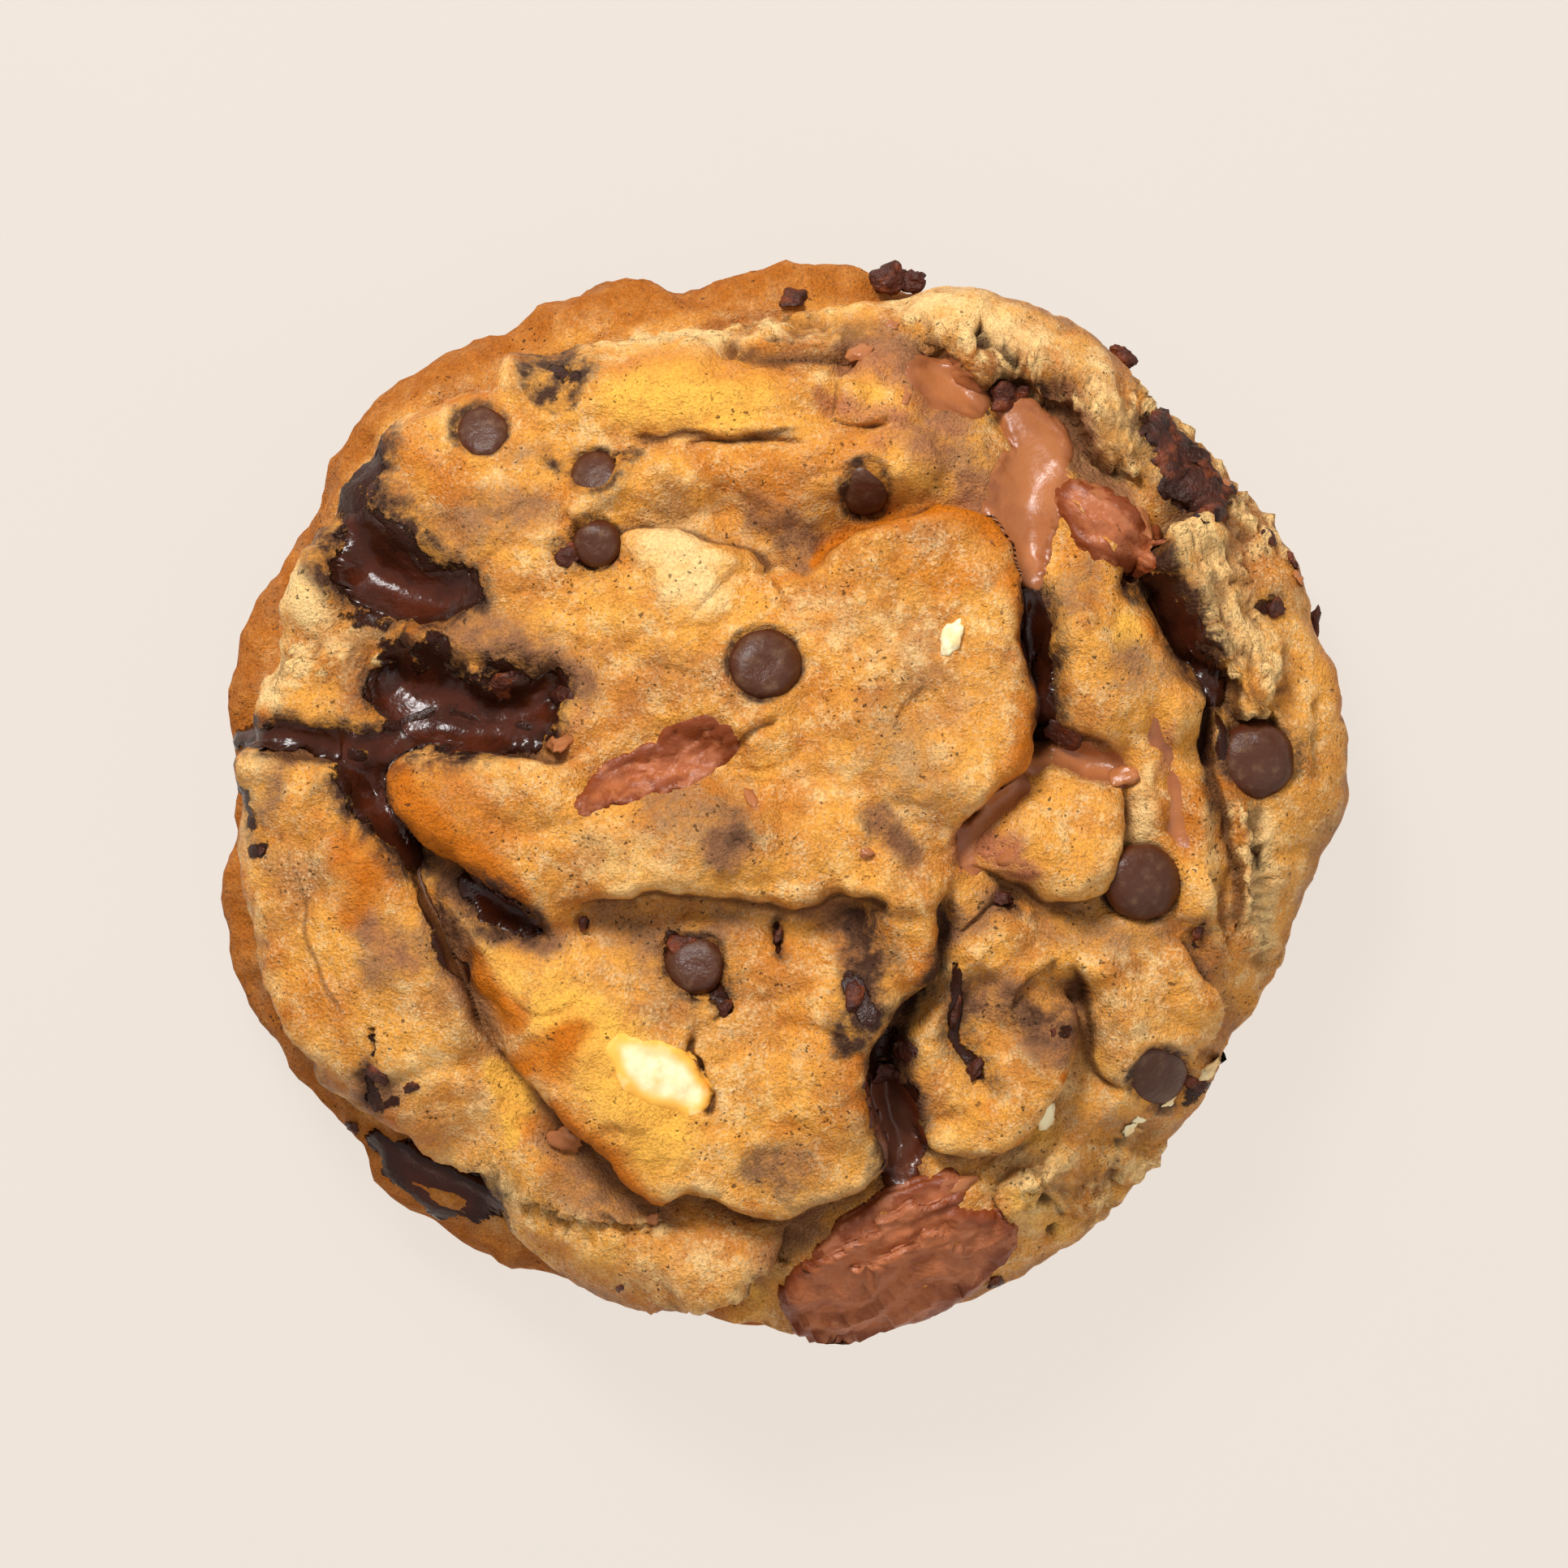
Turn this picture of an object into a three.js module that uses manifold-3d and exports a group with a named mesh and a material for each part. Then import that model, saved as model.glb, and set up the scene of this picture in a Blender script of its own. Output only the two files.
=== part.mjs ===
// A thick soft-baked chocolate cookie: dough heaped and folded over a browned foot that spread on the
// tray, with drops, chunks and melted pools of chocolate set into the folds.
// Millimetres, +Z up. The origin is under the middle of the cookie, on the surface it rests on.
// Seen from above, +X is to the right and +Y is away from the viewer.
import * as THREE from "three";
import { ImprovedNoise } from "three/addons/math/ImprovedNoise.js";
import { mergeVertices } from "three/addons/utils/BufferGeometryUtils.js";
import Module from "manifold-3d";

const wasm = await Module();
wasm.setup();

// The crown of the heap lies a little off the middle, and its height falls away towards the edge.
const CROWN = { x: 3, y: -3, top: 30, edge: 19.5, reach: 54 };
// The mound, and the foot it stands on, as radii at equal steps round the cookie from +X.
const MOUND_RADII = [56.1, 57.3, 56.2, 55.6, 50, 50, 54, 54.5, 55.8, 56, 49, 53.8, 53.9, 54.4, 51.4, 52.4];
const FOOT_RADII = [54.5, 55, 53.5, 54, 54, 54.2, 58.8, 57, 56.6, 58.2, 56.2, 53.6, 53.2, 51.5, 50, 50.5];
// The side, from the shoulder down: share of the foot in the radius, inset from it, and height.
const SHOULDER_INSET = 6;
const SIDE = [
  [0, 1.6, 18.4], [0, 0, 14.6], [0.1, 0.8, 12.6], [0.85, 2, 11.6], [1, 0, 8], [1, 0.6, 4], [1, 2.4, 0.8],
];
const REST_INSET = 5;
// How the facets are shared out between the top and the flat underside; the side takes the rest.
const FACET_STEPS = 17;
const TOP_SHARE = 0.66;
const REST_SHARE = 0.06;

const SWELL = { size: 0.7, length: 14 }; // how much all dough is thrown out of true, and over what length
const DIMPLE = { size: 0.35, length: 5 };
const CRAG_LENGTH = 3;
const RAGGED = { share: 0.3, length: 3.6 }; // how uneven a pool's outline is, as a share of its half width
const SIDE_FADE = [10.5, 15.5]; // heights between which the folds of the top fade out down the side
const SOCKET_GAP = 0.3; // clearance round each piece that sits in the dough
const SAME_PLACE = 1e-4; // corners nearer than this are one corner
const OVERHEAD = 100; // a height above all of the cookie, to look down from

const FINISHES = {
  dough: { color: 0xd9a05b, roughness: 0.75, metalness: 0 },
  dark: { color: 0x4a2a1c, roughness: 0.35, metalness: 0 },
  milk: { color: 0xa05a34, roughness: 0.35, metalness: 0 },
  white: { color: 0xf6dfa4, roughness: 0.45, metalness: 0 },
};

// Swells of the dough, from the middle outwards. Each point of a line is [x, y, half width], and rise
// is how far the swell stands up. A negative rise is a hollow.
const SWELLS = [
  // the large fold in the middle: its broad right end, its left end, and a snout that points left
  { line: [[13.5, 19, 13], [12, 8, 15]], rise: 3.4 },
  { line: [[-11, 19, 10], [-4, 8, 11]], rise: 1.8 },
  { line: [[-35, 1, 6], [-27, -1.8, 8.5], [-16, -4, 8.5], [-4, -3, 8]], rise: 2.6 },
  { line: [[-4, -3, 8], [7, -3.6, 9], [13, -9, 7]], rise: 1.6 },
  // the fold below it, which holds the white chunk
  { line: [[-24, -20, 8], [-13, -29, 12], [0, -31, 12]], rise: 2.6 },
  { line: [[-20, -22, 5], [-12, -28, 6.5]], rise: 1 },
  { line: [[2, -19, 6.5], [8, -22, 6]], rise: 1.2 },
  { line: [[-9, -13.2, 3], [-4, -13.4, 3.2]], rise: 1 },
  // upper left
  { line: [[-39, 37, 6], [-31, 34, 8], [-27, 25, 7]], rise: 1.6 },
  { line: [[-49, 20, 4.5], [-45.8, 31, 4.8], [-38, 40, 4.8]], rise: 2 },
  { line: [[-40, 31.5, 3.2], [-39.4, 27.5, 3.4]], rise: 1.8 },
  { line: [[-37.5, 14.8, 3], [-36.6, 16.6, 3.4]], rise: 2.2 },
  { line: [[-31.5, 16.2, 4.4], [-27, 14.5, 4.2]], rise: 1.8 },
  { line: [[-21.4, 12.8, 3], [-21.8, 8.6, 3.4]], rise: 1.2 },
  // two bands across the top, and the flap behind them
  { line: [[-27, 43.2, 4.5], [-18, 41.8, 7], [-6, 42.6, 6.6], [3, 42.6, 4.6]], rise: 2.4 },
  {
    line: [[-20.5, 29.4, 4], [-14, 33, 5.2], [-5, 35.2, 5.4], [6, 35, 5.8], [13, 34, 5]],
    rise: 2.4,
  },
  { line: [[7, 40.6, 4], [10.5, 39.6, 4.4]], rise: 1.4 },
  { line: [[9, 28.8, 4], [15, 32, 4.4]], rise: 0.8 },
  // the right of the heap
  { line: [[30, 30, 5], [34, 26, 5.4]], rise: 1 },
  { line: [[30.4, 18, 5.6], [34.5, 13, 8], [39.5, 9.5, 5.5]], rise: 2.6 },
  { line: [[36.8, 4.4, 3], [37.2, -0.6, 3.2]], rise: 1.6 },
  { line: [[24, -2.4, 6.5], [28.4, -4.8, 7.5]], rise: 2.4 },
  { line: [[17, -15.6, 4.4], [22.6, -13.8, 5]], rise: 1.2 },
  { line: [[28, -13.4, 3.8], [29.4, -16, 3.4]], rise: 1.2 },
  { line: [[34.8, -16.5, 7], [38.4, -21.5, 8]], rise: 2.2 },
  { line: [[21, -30.6, 6.6], [26.6, -26.4, 5.6]], rise: 2.4 },
  { line: [[22.8, -20.4, 4], [25.6, -22.6, 4]], rise: 1 },
  { line: [[41.4, 1.6, 2.6], [42.6, -5.4, 3.2], [41.4, -11, 2.6]], rise: 1.8 },
  // the left of the heap
  {
    line: [[-52.5, 2.5, 4.5], [-50.3, -1.5, 6], [-46.4, -12, 10], [-43, -24, 11], [-36, -33, 8]],
    rise: 2.2,
  },
  { line: [[-36, -32, 6], [-28.5, -38, 5.4], [-21, -41, 5]], rise: 1.2 },
  { line: [[-34.8, -9, 4], [-32.2, -13, 4.4], [-29, -16.4, 4.4]], rise: 1 },
  // the near edge
  { line: [[-26, -41, 5], [-19, -44.5, 6.6], [-11, -47, 6.6], [-5, -45.5, 5]], rise: 2 },
  { line: [[-9, -52, 4], [-3, -52.5, 4.5]], rise: -1.5 },
  { line: [[26, -39.5, 6], [31, -41, 6], [36, -35.5, 5]], rise: 1.4 },
  { line: [[33, -31.5, 4.4], [38.4, -31.8, 4.6], [43, -28.5, 4]], rise: 1 },
  // hollows between the folds
  { line: [[-6.5, 30, 3], [-1.2, 25.6, 4.4], [4.5, 28, 3.6], [11, 30.2, 2.4]], rise: -2.2 },
  { line: [[-40, 11.5, 5], [-32, 10.2, 6.2], [-25, 11, 5]], rise: -3 },
  { line: [[-44.5, 28, 3.4], [-43, 24, 4], [-36, 20.6, 4.2]], rise: -2.2 },
  { line: [[-18, 1.6, 3.4], [-12.6, 4, 4.4], [-7, 5.2, 3.6], [-4.4, 1, 3]], rise: -2 },
  { line: [[-20, -11.8, 3.4], [-13, -12.6, 4], [-3, -13.4, 4.4], [6.6, -13.4, 4]], rise: -1.8 },
  { line: [[-11.5, -15, 3.6], [-8, -18, 3.6]], rise: -1.8 },
  { line: [[12.4, -20, 3.6], [10.6, -27, 3.8], [11.6, -36, 4]], rise: -2.8 },
  { line: [[19.6, -18.4, 2.6], [17.4, -24, 2.8], [19.4, -28.6, 2.6]], rise: -1.4 },
  { line: [[24, 18, 3], [25.8, 12, 3.4], [26, 6.4, 3]], rise: -2.4 },
  { line: [[22, 39, 3.6], [25, 33, 4.6], [24.4, 25.4, 4.2]], rise: -1.6 },
  { line: [[38.8, 21.4, 3], [42, 17.6, 3.4]], rise: -2 },
  { line: [[-26.6, -11.6, 3], [-31, -9.4, 3.4]], rise: -1.6 },
  { line: [[30, -19.6, 3.4], [27.4, -20.4, 3.4]], rise: -1.2 },
  { line: [[28.6, 4.2, 2.8], [35, 3.8, 2.6]], rise: -1.4 },
];

// Creases, each a line with the higher dough on its left as it runs. The dough rises by high in a
// rounded shoulder on that side, and dips by low on the other.
const CREASES = [
  // round the snout of the middle fold
  {
    line: [
      [-19.3, 6.6], [-23, 3.9], [-30, 4.7], [-36.1, 5.4], [-39.6, 3.8], [-39.6, 0], [-36.1, -3.6],
      [-30.8, -8.1], [-26.4, -10.8], [-23.3, -14.8],
    ],
    high: 2.6, low: 2.4,
  },
  // under its chin
  {
    line: [
      [-21, -10.2], [-15.8, -9.2], [-8.6, -9], [-2.3, -10.2], [1.8, -10.8], [5.7, -9.3], [9.4, -11],
      [11, -13.4],
    ],
    high: 1.8, low: 1.4,
  },
  // below the fold that holds the white chunk, and up its right side
  {
    line: [
      [-31, -20.6], [-26.8, -28], [-19.2, -34.3], [-13, -39.5], [-9.6, -38.9], [-1, -41.3],
      [7, -38.8], [9.8, -36], [8.1, -29.3], [8.8, -24.4], [14.2, -16.8], [15.6, -11], [18, -6.6],
    ],
    high: 2.8, low: 2.2,
  },
  // up the right side of the middle fold and back along its top
  {
    line: [
      [16.8, -8.6], [18.3, -1.4], [22.7, 2.3], [25, 9], [24.2, 16.5], [22.7, 23.4], [20.6, 28.2],
      [15.8, 29.4], [10.8, 28.2], [5.8, 25.9], [-0.6, 22.4],
    ],
    high: 3, low: 2,
  },
  { line: [[-2, 22], [-2.9, 24.9], [-9.3, 27.2], [-15.1, 27.9], [-18, 25]], high: 1.2, low: 0.8 },
  // between the two bands across the top
  { line: [[-16, 36.6], [-10, 37.1], [-5.8, 36.8], [2.5, 38.2]], high: 0.9, low: 0.5 },
  // the inner edge of the rolled rim at the upper right
  {
    line: [
      [13.4, 49.2], [16.5, 45.9], [20, 43], [24.7, 43.3], [29, 39.8], [32.4, 35.2], [36.6, 32.2],
    ],
    high: 2.6, low: 1.8, reach: 8,
  },
  { line: [[-6.6, 46.6], [-3, 44.6], [3.4, 44.6], [8, 46]], high: 1.8, low: 1.4, reach: 5 },
  // the torn inner edge of the rim at the right
  {
    line: [
      [43.6, 31], [40.8, 28.7], [37.2, 24.9], [39.8, 21.1], [41.4, 18.4], [42.4, 15.6],
      [44.6, 12.6], [47.5, 8.8], [51, 8.6],
    ],
    high: 2.6, low: 2, reach: 8,
  },
  {
    line: [[44.3, 11.7], [42.8, 4], [44.8, -2.7], [46.4, -10.2], [47, -14]],
    high: 1.2, low: 1.6, reach: 4,
  },
  // round the lumps on the right
  {
    line: [[18.3, -6.8], [23.6, -7.8], [27.6, -10.2], [32.3, -8.9], [34.4, -3], [33.5, 3.6]],
    high: 2, low: 1.6, reach: 8,
  },
  {
    line: [[27.4, 21.6], [26.6, 14], [25.6, 9.2], [29, 7.3], [35.2, 4.6]],
    high: 1.6, low: 1.4, reach: 7,
  },
  { line: [[28.3, -15.2], [31.2, -21], [31, -26.2], [34.4, -29]], high: 1.8, low: 1.2, reach: 7 },
  { line: [[43.3, -24.8], [44, -20], [40, -13.5]], high: 1.2, low: 1, reach: 6 },
  {
    line: [
      [13, -31.6], [15, -35.6], [20, -36.2], [24.2, -33.1], [27.9, -27.5], [29.4, -22], [28, -18.6],
    ],
    high: 1.8, low: 1.4, reach: 7,
  },
  // the left lobe, and the low lobes at the near edge
  {
    line: [[-27, -29], [-33.4, -17.9], [-36.2, -12], [-39.3, -4.6], [-43.3, 1.5], [-45.4, 4.2]],
    high: 1.8, low: 1.6, reach: 9,
  },
  { line: [[-44.6, 4.2], [-50, 4.5], [-55, 6.4]], high: 1.4, low: 1.4, reach: 6 },
  {
    line: [[-11.5, -51.6], [-5.6, -49.6], [-1.1, -46.7], [0.4, -42.6]],
    high: 1.6, low: 1.6, reach: 7,
  },
];
const SHOULDER = 2.6; // width of the rounded shoulder beside a crease
const REACH = 11; // how far from a crease the dough is back at its own height, where none is given
const DIP_REACH = 4.5;
const CREASE_FADE = 0.14; // share of a crease's length over which each end dies away

// Torn edges, where the crust broke and the crumb shows. crag is how rough they are.
const TORN = [
  { line: [[-17, 47, 3], [-6, 46.8, 3]], crag: 0.7 },
  { line: [[-5.5, 48.2, 3.5], [0.5, 48.6, 4], [8, 48.6, 3.5]], crag: 0.9 },
  { line: [[12.5, 49, 3], [22, 44.6, 4], [30, 40, 4.5], [37, 33.4, 4.5]], crag: 0.9 },
  { line: [[36.5, 41, 4], [44, 34.6, 5], [48.5, 28, 5]], crag: 1.3 },
  { line: [[40.8, 26.2, 4], [45, 23, 5], [46, 16, 5.5], [49, 10.6, 5]], crag: 1.2 },
  { line: [[46.8, -1.4, 3], [48.4, -8, 3.5], [48.8, -15.6, 3]], crag: 1.1 },
  { line: [[-51.5, 13.5, 5], [-44.5, 15, 6], [-40, 13, 4]], crag: 0.9 },
  { line: [[25, -38.5, 5.5], [31, -39.5, 5.5], [35.5, -34.5, 4.5]], crag: 0.9 },
];

// Lumps low on the side, where middle is the height of the line they follow.
const SIDE_LUMPS = [
  { line: [[-20, 50, 7], [-12, 53, 7]], middle: 7, rise: 1.6 },
  { line: [[-3, 55, 6.5], [7, 54, 6]], middle: 8, rise: 1.6 },
  { line: [[-40, 40, 7], [-31, 45, 6]], middle: 7, rise: 1 },
  { line: [[-56, 9.5, 6.5], [-53.5, 18, 6]], middle: 8.5, rise: 2 },
  { line: [[-57, -8, 6], [-54.6, -20, 7]], middle: 7, rise: 1.6 },
  { line: [[-40, -40, 7], [-28, -46, 8]], middle: 7, rise: 1.2 },
  { line: [[-6, -54, 6.5], [4, -53, 6]], middle: 12, rise: 1.6 },
  { line: [[31, -42, 8], [39, -33, 7]], middle: 11, rise: 1 },
  { line: [[47, -21, 8], [50.5, -10, 6]], middle: 10, rise: 0.9 },
  { line: [[57, 12, 6], [56, 1, 8]], middle: 16, rise: 1.4 },
  { line: [[51, 23, 8], [44, 35, 8]], middle: 10, rise: 0.9 },
  { line: [[30, 46, 8], [18, 52, 7]], middle: 11, rise: 1 },
];

// Drops of chocolate on the surface: where, radius, and how deep the broad middle of the drop lies
// below the dough's own surface.
const DROPS = [
  { name: "drop_middle", at: [-2.1, 13.8], radius: 3.8, sunk: 0.9 },
  { name: "drop_right", at: [36, -8.1], radius: 3.9, sunk: 0.4 },
  { name: "drop_far_right", at: [47.8, 4.2], radius: 4, sunk: 0.4 },
  { name: "drop_lower_right", at: [37.6, -27.8], radius: 3.3, sunk: 0.8 },
  { name: "drop_upper_left", at: [-30.9, 37.6], radius: 2.9, sunk: 0.9 },
  { name: "drop_top_left", at: [-23, 42.6], radius: 3.4, sunk: 1.4 },
  { name: "drop_left_crease", at: [-19.3, 33.1], radius: 2.6, sunk: 1 },
  { name: "drop_left_hollow", at: [-19.1, 26.1], radius: 2.5, sunk: 0.5 },
  { name: "drop_top_crease", at: [8, 31.6], radius: 2.6, sunk: 1 },
  { name: "drop_lower_middle", at: [-9.2, -16.4], radius: 3.2, sunk: 1.3 },
];

// Melted pools and broken chunks, drawn as flat folds that follow the dough. proud is how far a
// piece's top stands above the dough under its line, and flatness its height as a share of its width.
const POOLS = [
  {
    name: "dark_pool_upper_left", kind: "dark", proud: 0.5, flatness: 0.7,
    line: [[-43.8, 29, 1.8], [-43.6, 25, 2.6], [-38.8, 22, 2.8], [-34, 20.4, 2]],
  },
  {
    name: "dark_pool_left", kind: "dark", proud: 0.5, flatness: 0.5,
    line: [[-41, 11.4, 3], [-36, 9.6, 4.2], [-29, 9.4, 3.8], [-24.6, 10.8, 2.6]],
  },
  {
    name: "dark_pool_left_fork", kind: "dark", proud: 0.4, flatness: 0.9,
    line: [
      [-52, 6.6, 1.3], [-46.5, 6.4, 1.5], [-42.3, 4.2, 1.9], [-40.4, -0.5, 1.7], [-37.8, -4.4, 1.2],
    ],
  },
  {
    name: "dark_pool_under_snout", kind: "dark", proud: 0.6, flatness: 0.8,
    line: [[-31.5, -9.2, 1.6], [-27.3, -11.8, 2.2]],
  },
  {
    name: "dark_pool_gap", kind: "dark", proud: 0.3, flatness: 1,
    line: [[25.6, 20, 1.3], [26, 14.5, 1.4], [25.7, 10, 1]],
  },
  {
    name: "dark_pool_right", kind: "dark", proud: 0.3, flatness: 1,
    line: [[39.2, 20.8, 1.4], [41.4, 17.2, 1.7]],
  },
  {
    name: "dark_pool_lower", kind: "dark", proud: 0.3, flatness: 0.8,
    line: [[11.2, -26, 1.9], [11, -31, 2.2], [11.8, -36, 2.3]],
  },
  {
    name: "dark_pool_foot", kind: "dark", proud: 0.4, flatness: 0.8,
    line: [[-37.2, -38, 1.8], [-33.4, -41, 2.6], [-29, -43.2, 2.2]],
  },
  {
    name: "dark_chunk_edge", kind: "dark", proud: 0.8, flatness: 0.9,
    line: [[40.4, 35.4, 1.9], [42.4, 32, 2.6], [42.2, 29.4, 1.8]],
  },
  {
    name: "milk_pool_right", kind: "milk", proud: 0.6, flatness: 0.6,
    line: [[22.6, 38.6, 1.9], [25, 33.8, 2.8], [24.3, 28, 2.8], [25, 23.8, 1.9]],
  },
  {
    name: "milk_pool_top", kind: "milk", proud: 0.5, flatness: 0.7,
    line: [[12.4, 44.2, 1.7], [15.8, 42.4, 2.3], [19, 40.8, 1.6]],
  },
  {
    name: "milk_chunk_upper_right", kind: "milk", proud: 0.8, flatness: 0.7,
    line: [[29.6, 28.2, 2.2], [33.2, 26.4, 2.9]],
  },
  {
    name: "milk_chunk_near", kind: "milk", proud: 1.2, flatness: 0.6,
    line: [[2.6, -48, 4], [9.6, -46.8, 6], [16.6, -44.4, 5.8], [20.4, -42.6, 4]],
  },
  {
    name: "milk_smear_right", kind: "milk", proud: 0.5, flatness: 0.7,
    line: [[20.2, -4.2, 2], [22.2, -0.4, 2.2]],
  },
  {
    name: "milk_band_right", kind: "milk", proud: 0.4, flatness: 0.9,
    line: [[25, 3.6, 1.4], [29.6, 4.4, 1.3], [34.2, 3.6, 1.2]],
  },
  {
    name: "milk_streak_right", kind: "milk", proud: 0.5, flatness: 0.9,
    line: [[38.4, 2.6, 1.1], [40, -2.6, 1.4]],
  },
  {
    name: "milk_chunk_middle", kind: "milk", proud: 0.6, flatness: 0.6,
    line: [[-18.2, 1.3, 1.4], [-13.8, 3.2, 2], [-9.2, 4.2, 2.4]],
  },
  {
    name: "white_chunk_lower", kind: "white", proud: 0.5, flatness: 0.5,
    line: [[-18.4, -23.4, 2.4], [-14, -26.6, 3.6], [-10, -28.2, 3]],
  },
];

const perlin = new ImprovedNoise();

// Smooth noise at a point, about -1 to 1, that changes over the given length.
function noiseAt(point, length, layer) {
  return perlin.noise(point.x / length + layer, point.y / length, point.z / length);
}

// Shifts a point by three unlike layers of smooth noise, one along each axis.
const NOISE_LAYERS = [3, 23, 43];
function throwOutOfTrue(point, size, length) {
  const shift = NOISE_LAYERS.map((layer) => size * noiseAt(point, length, layer));
  return point.add(new THREE.Vector3(...shift));
}

// Height of the heap under the folds.
function heapHeight(x, y) {
  const away = Math.hypot(x - CROWN.x, y - CROWN.y) / CROWN.reach;
  return CROWN.edge + (CROWN.top - CROWN.edge) * (1 - away * away);
}

// A line of [x, y, width] points as a smooth curve, sampled closely.
const SAMPLES_PER_POINT = 7;
function sampledLine(line, height = 0) {
  const curve = new THREE.CatmullRomCurve3(line.map(([x, y]) => new THREE.Vector3(x, y, height)));
  const widths = new THREE.SplineCurve(line.map(([, , width = 0], i) => new THREE.Vector2(i, width)));
  const steps = line.length * SAMPLES_PER_POINT;
  return Array.from({ length: steps + 1 }, (_, i) => ({
    spot: curve.getPoint(i / steps),
    width: widths.getPoint(i / steps).y,
  }));
}

// The nearest place on a sampled line: its distance, its share of the way along, the line's width
// there, and whether the point lies to the line's left.
function nearestOn(samples, point) {
  const piece = new THREE.Line3();
  const foot = new THREE.Vector3();
  let best = { distance: Infinity };
  for (let i = 0; i + 1 < samples.length; i++) {
    piece.set(samples[i].spot, samples[i + 1].spot);
    const along = piece.closestPointToPointParameter(point, true);
    const distance = piece.at(along, foot).distanceTo(point);
    if (distance < best.distance) {
      const ahead = piece.delta(new THREE.Vector3());
      const cross = ahead.x * (point.y - foot.y) - ahead.y * (point.x - foot.x);
      const width = THREE.MathUtils.lerp(samples[i].width, samples[i + 1].width, along);
      best = { distance, width, share: (i + along) / (samples.length - 1), left: cross >= 0 };
    }
  }
  return best;
}

// 1 at the middle of a bump and 0 from its edge outwards, smooth at both.
function bump(share) {
  return share < 1 ? (1 - share * share) ** 2 : 0;
}

function creaseLift({ high, low, reach = REACH, samples }, flatPoint) {
  const { distance, share, left } = nearestOn(samples, flatPoint);
  const ends = THREE.MathUtils.smoothstep(Math.min(share, 1 - share), 0, CREASE_FADE);
  if (!left) {
    return -low * ends * bump(distance / DIP_REACH);
  }
  const shoulder = Math.min(distance / SHOULDER, 1);
  const climb = Math.sqrt(1 - (1 - shoulder) ** 2);
  return ends * (-low + (high + low) * climb) * bump(distance / reach);
}

const withSamples = (feature) => ({ ...feature, samples: sampledLine(feature.line, feature.middle) });
const swells = SWELLS.map(withSamples);
const creases = CREASES.map(withSamples);
const torn = TORN.map(withSamples);
const sideLumps = SIDE_LUMPS.map(withSamples);

// How far the dough stands out of the plain heap at a point of it, and how rough it is there.
function reliefAt(point) {
  const flatPoint = new THREE.Vector3(point.x, point.y, 0);
  const onTop = THREE.MathUtils.smoothstep(point.z, ...SIDE_FADE);
  const rises = swells.map(({ rise, samples }) => {
    const { distance, width } = nearestOn(samples, flatPoint);
    return rise * bump(distance / width);
  });
  const swell = Math.max(0, ...rises) + Math.min(0, ...rises);
  const folds = creases.reduce((sum, crease) => sum + creaseLift(crease, flatPoint), 0);
  const side = sideLumps.reduce((sum, { rise, samples }) => {
    const { distance, width } = nearestOn(samples, point);
    return sum + rise * bump(distance / width);
  }, 0);
  const rough = Math.max(...torn.map(({ crag, samples }) => {
    const { distance, width } = nearestOn(samples, flatPoint);
    return crag * bump(distance / width);
  }));
  return { lift: onTop * (swell + folds) + side, crag: onTop * rough };
}

// A closed smooth curve through radii at equal steps round the Z axis.
function outlineThrough(radii) {
  const corners = radii.map((radius, i) => {
    const angle = (2 * Math.PI * i) / radii.length;
    return new THREE.Vector3(radius * Math.cos(angle), radius * Math.sin(angle), 0);
  });
  return new THREE.CatmullRomCurve3(corners, true);
}
const moundOutline = outlineThrough(MOUND_RADII);
const footOutline = outlineThrough(FOOT_RADII);

// The plain heap: the radius and height on its side at an angle, for a share of the whole surface that
// runs from the middle of the top, over the shoulder and down, to the middle of the underside.
function stationAt(share, turn) {
  const mound = moundOutline.getPoint(turn).length();
  const foot = footOutline.getPoint(turn).length();
  const angle = 2 * Math.PI * turn;
  const topHeight = (radius) => heapHeight(radius * Math.cos(angle), radius * Math.sin(angle));
  if (share <= TOP_SHARE) {
    const radius = (mound - SHOULDER_INSET) * Math.sqrt(share / TOP_SHARE);
    return new THREE.Vector2(radius, topHeight(radius));
  }
  if (share >= 1 - REST_SHARE) {
    return new THREE.Vector2((foot - REST_INSET) * Math.sqrt(Math.max(1 - share, 0) / REST_SHARE), 0);
  }
  const side = new THREE.SplineCurve([
    new THREE.Vector2(mound - SHOULDER_INSET, topHeight(mound - SHOULDER_INSET)),
    ...SIDE.map(([ofFoot, inset, height]) => {
      return new THREE.Vector2(THREE.MathUtils.lerp(mound, foot, ofFoot) - inset, height);
    }),
    new THREE.Vector2(foot - REST_INSET, 0),
  ]);
  return side.getPoint((share - TOP_SHARE) / (1 - TOP_SHARE - REST_SHARE));
}

// The place on the finished dough for a direction from its middle.
const SHARE_STEP = 0.004; // how far apart the slope of the side is read
function doughPoint(direction) {
  const share = (1 - direction.z) / 2;
  const turn = (Math.atan2(direction.y, direction.x) / (2 * Math.PI) + 1) % 1;
  const station = stationAt(share, turn);
  const angle = 2 * Math.PI * turn;
  const outwards = new THREE.Vector3(Math.cos(angle), Math.sin(angle), 0);
  const point = outwards.clone().multiplyScalar(station.x).setZ(station.y);
  if (share >= 1 - REST_SHARE) {
    return point;
  }
  const before = stationAt(Math.max(share - SHARE_STEP, 0), turn);
  const after = stationAt(Math.min(share + SHARE_STEP, 1), turn);
  const normal = outwards.multiplyScalar(before.y - after.y).setZ(after.x - before.x).normalize();
  const { lift, crag } = reliefAt(point);
  point.addScaledVector(normal, lift);
  throwOutOfTrue(point, SWELL.size, SWELL.length);
  throwOutOfTrue(point, DIMPLE.size, DIMPLE.length);
  throwOutOfTrue(point, crag, CRAG_LENGTH);
  point.z = Math.max(point.z, 0);
  return point;
}

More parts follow.
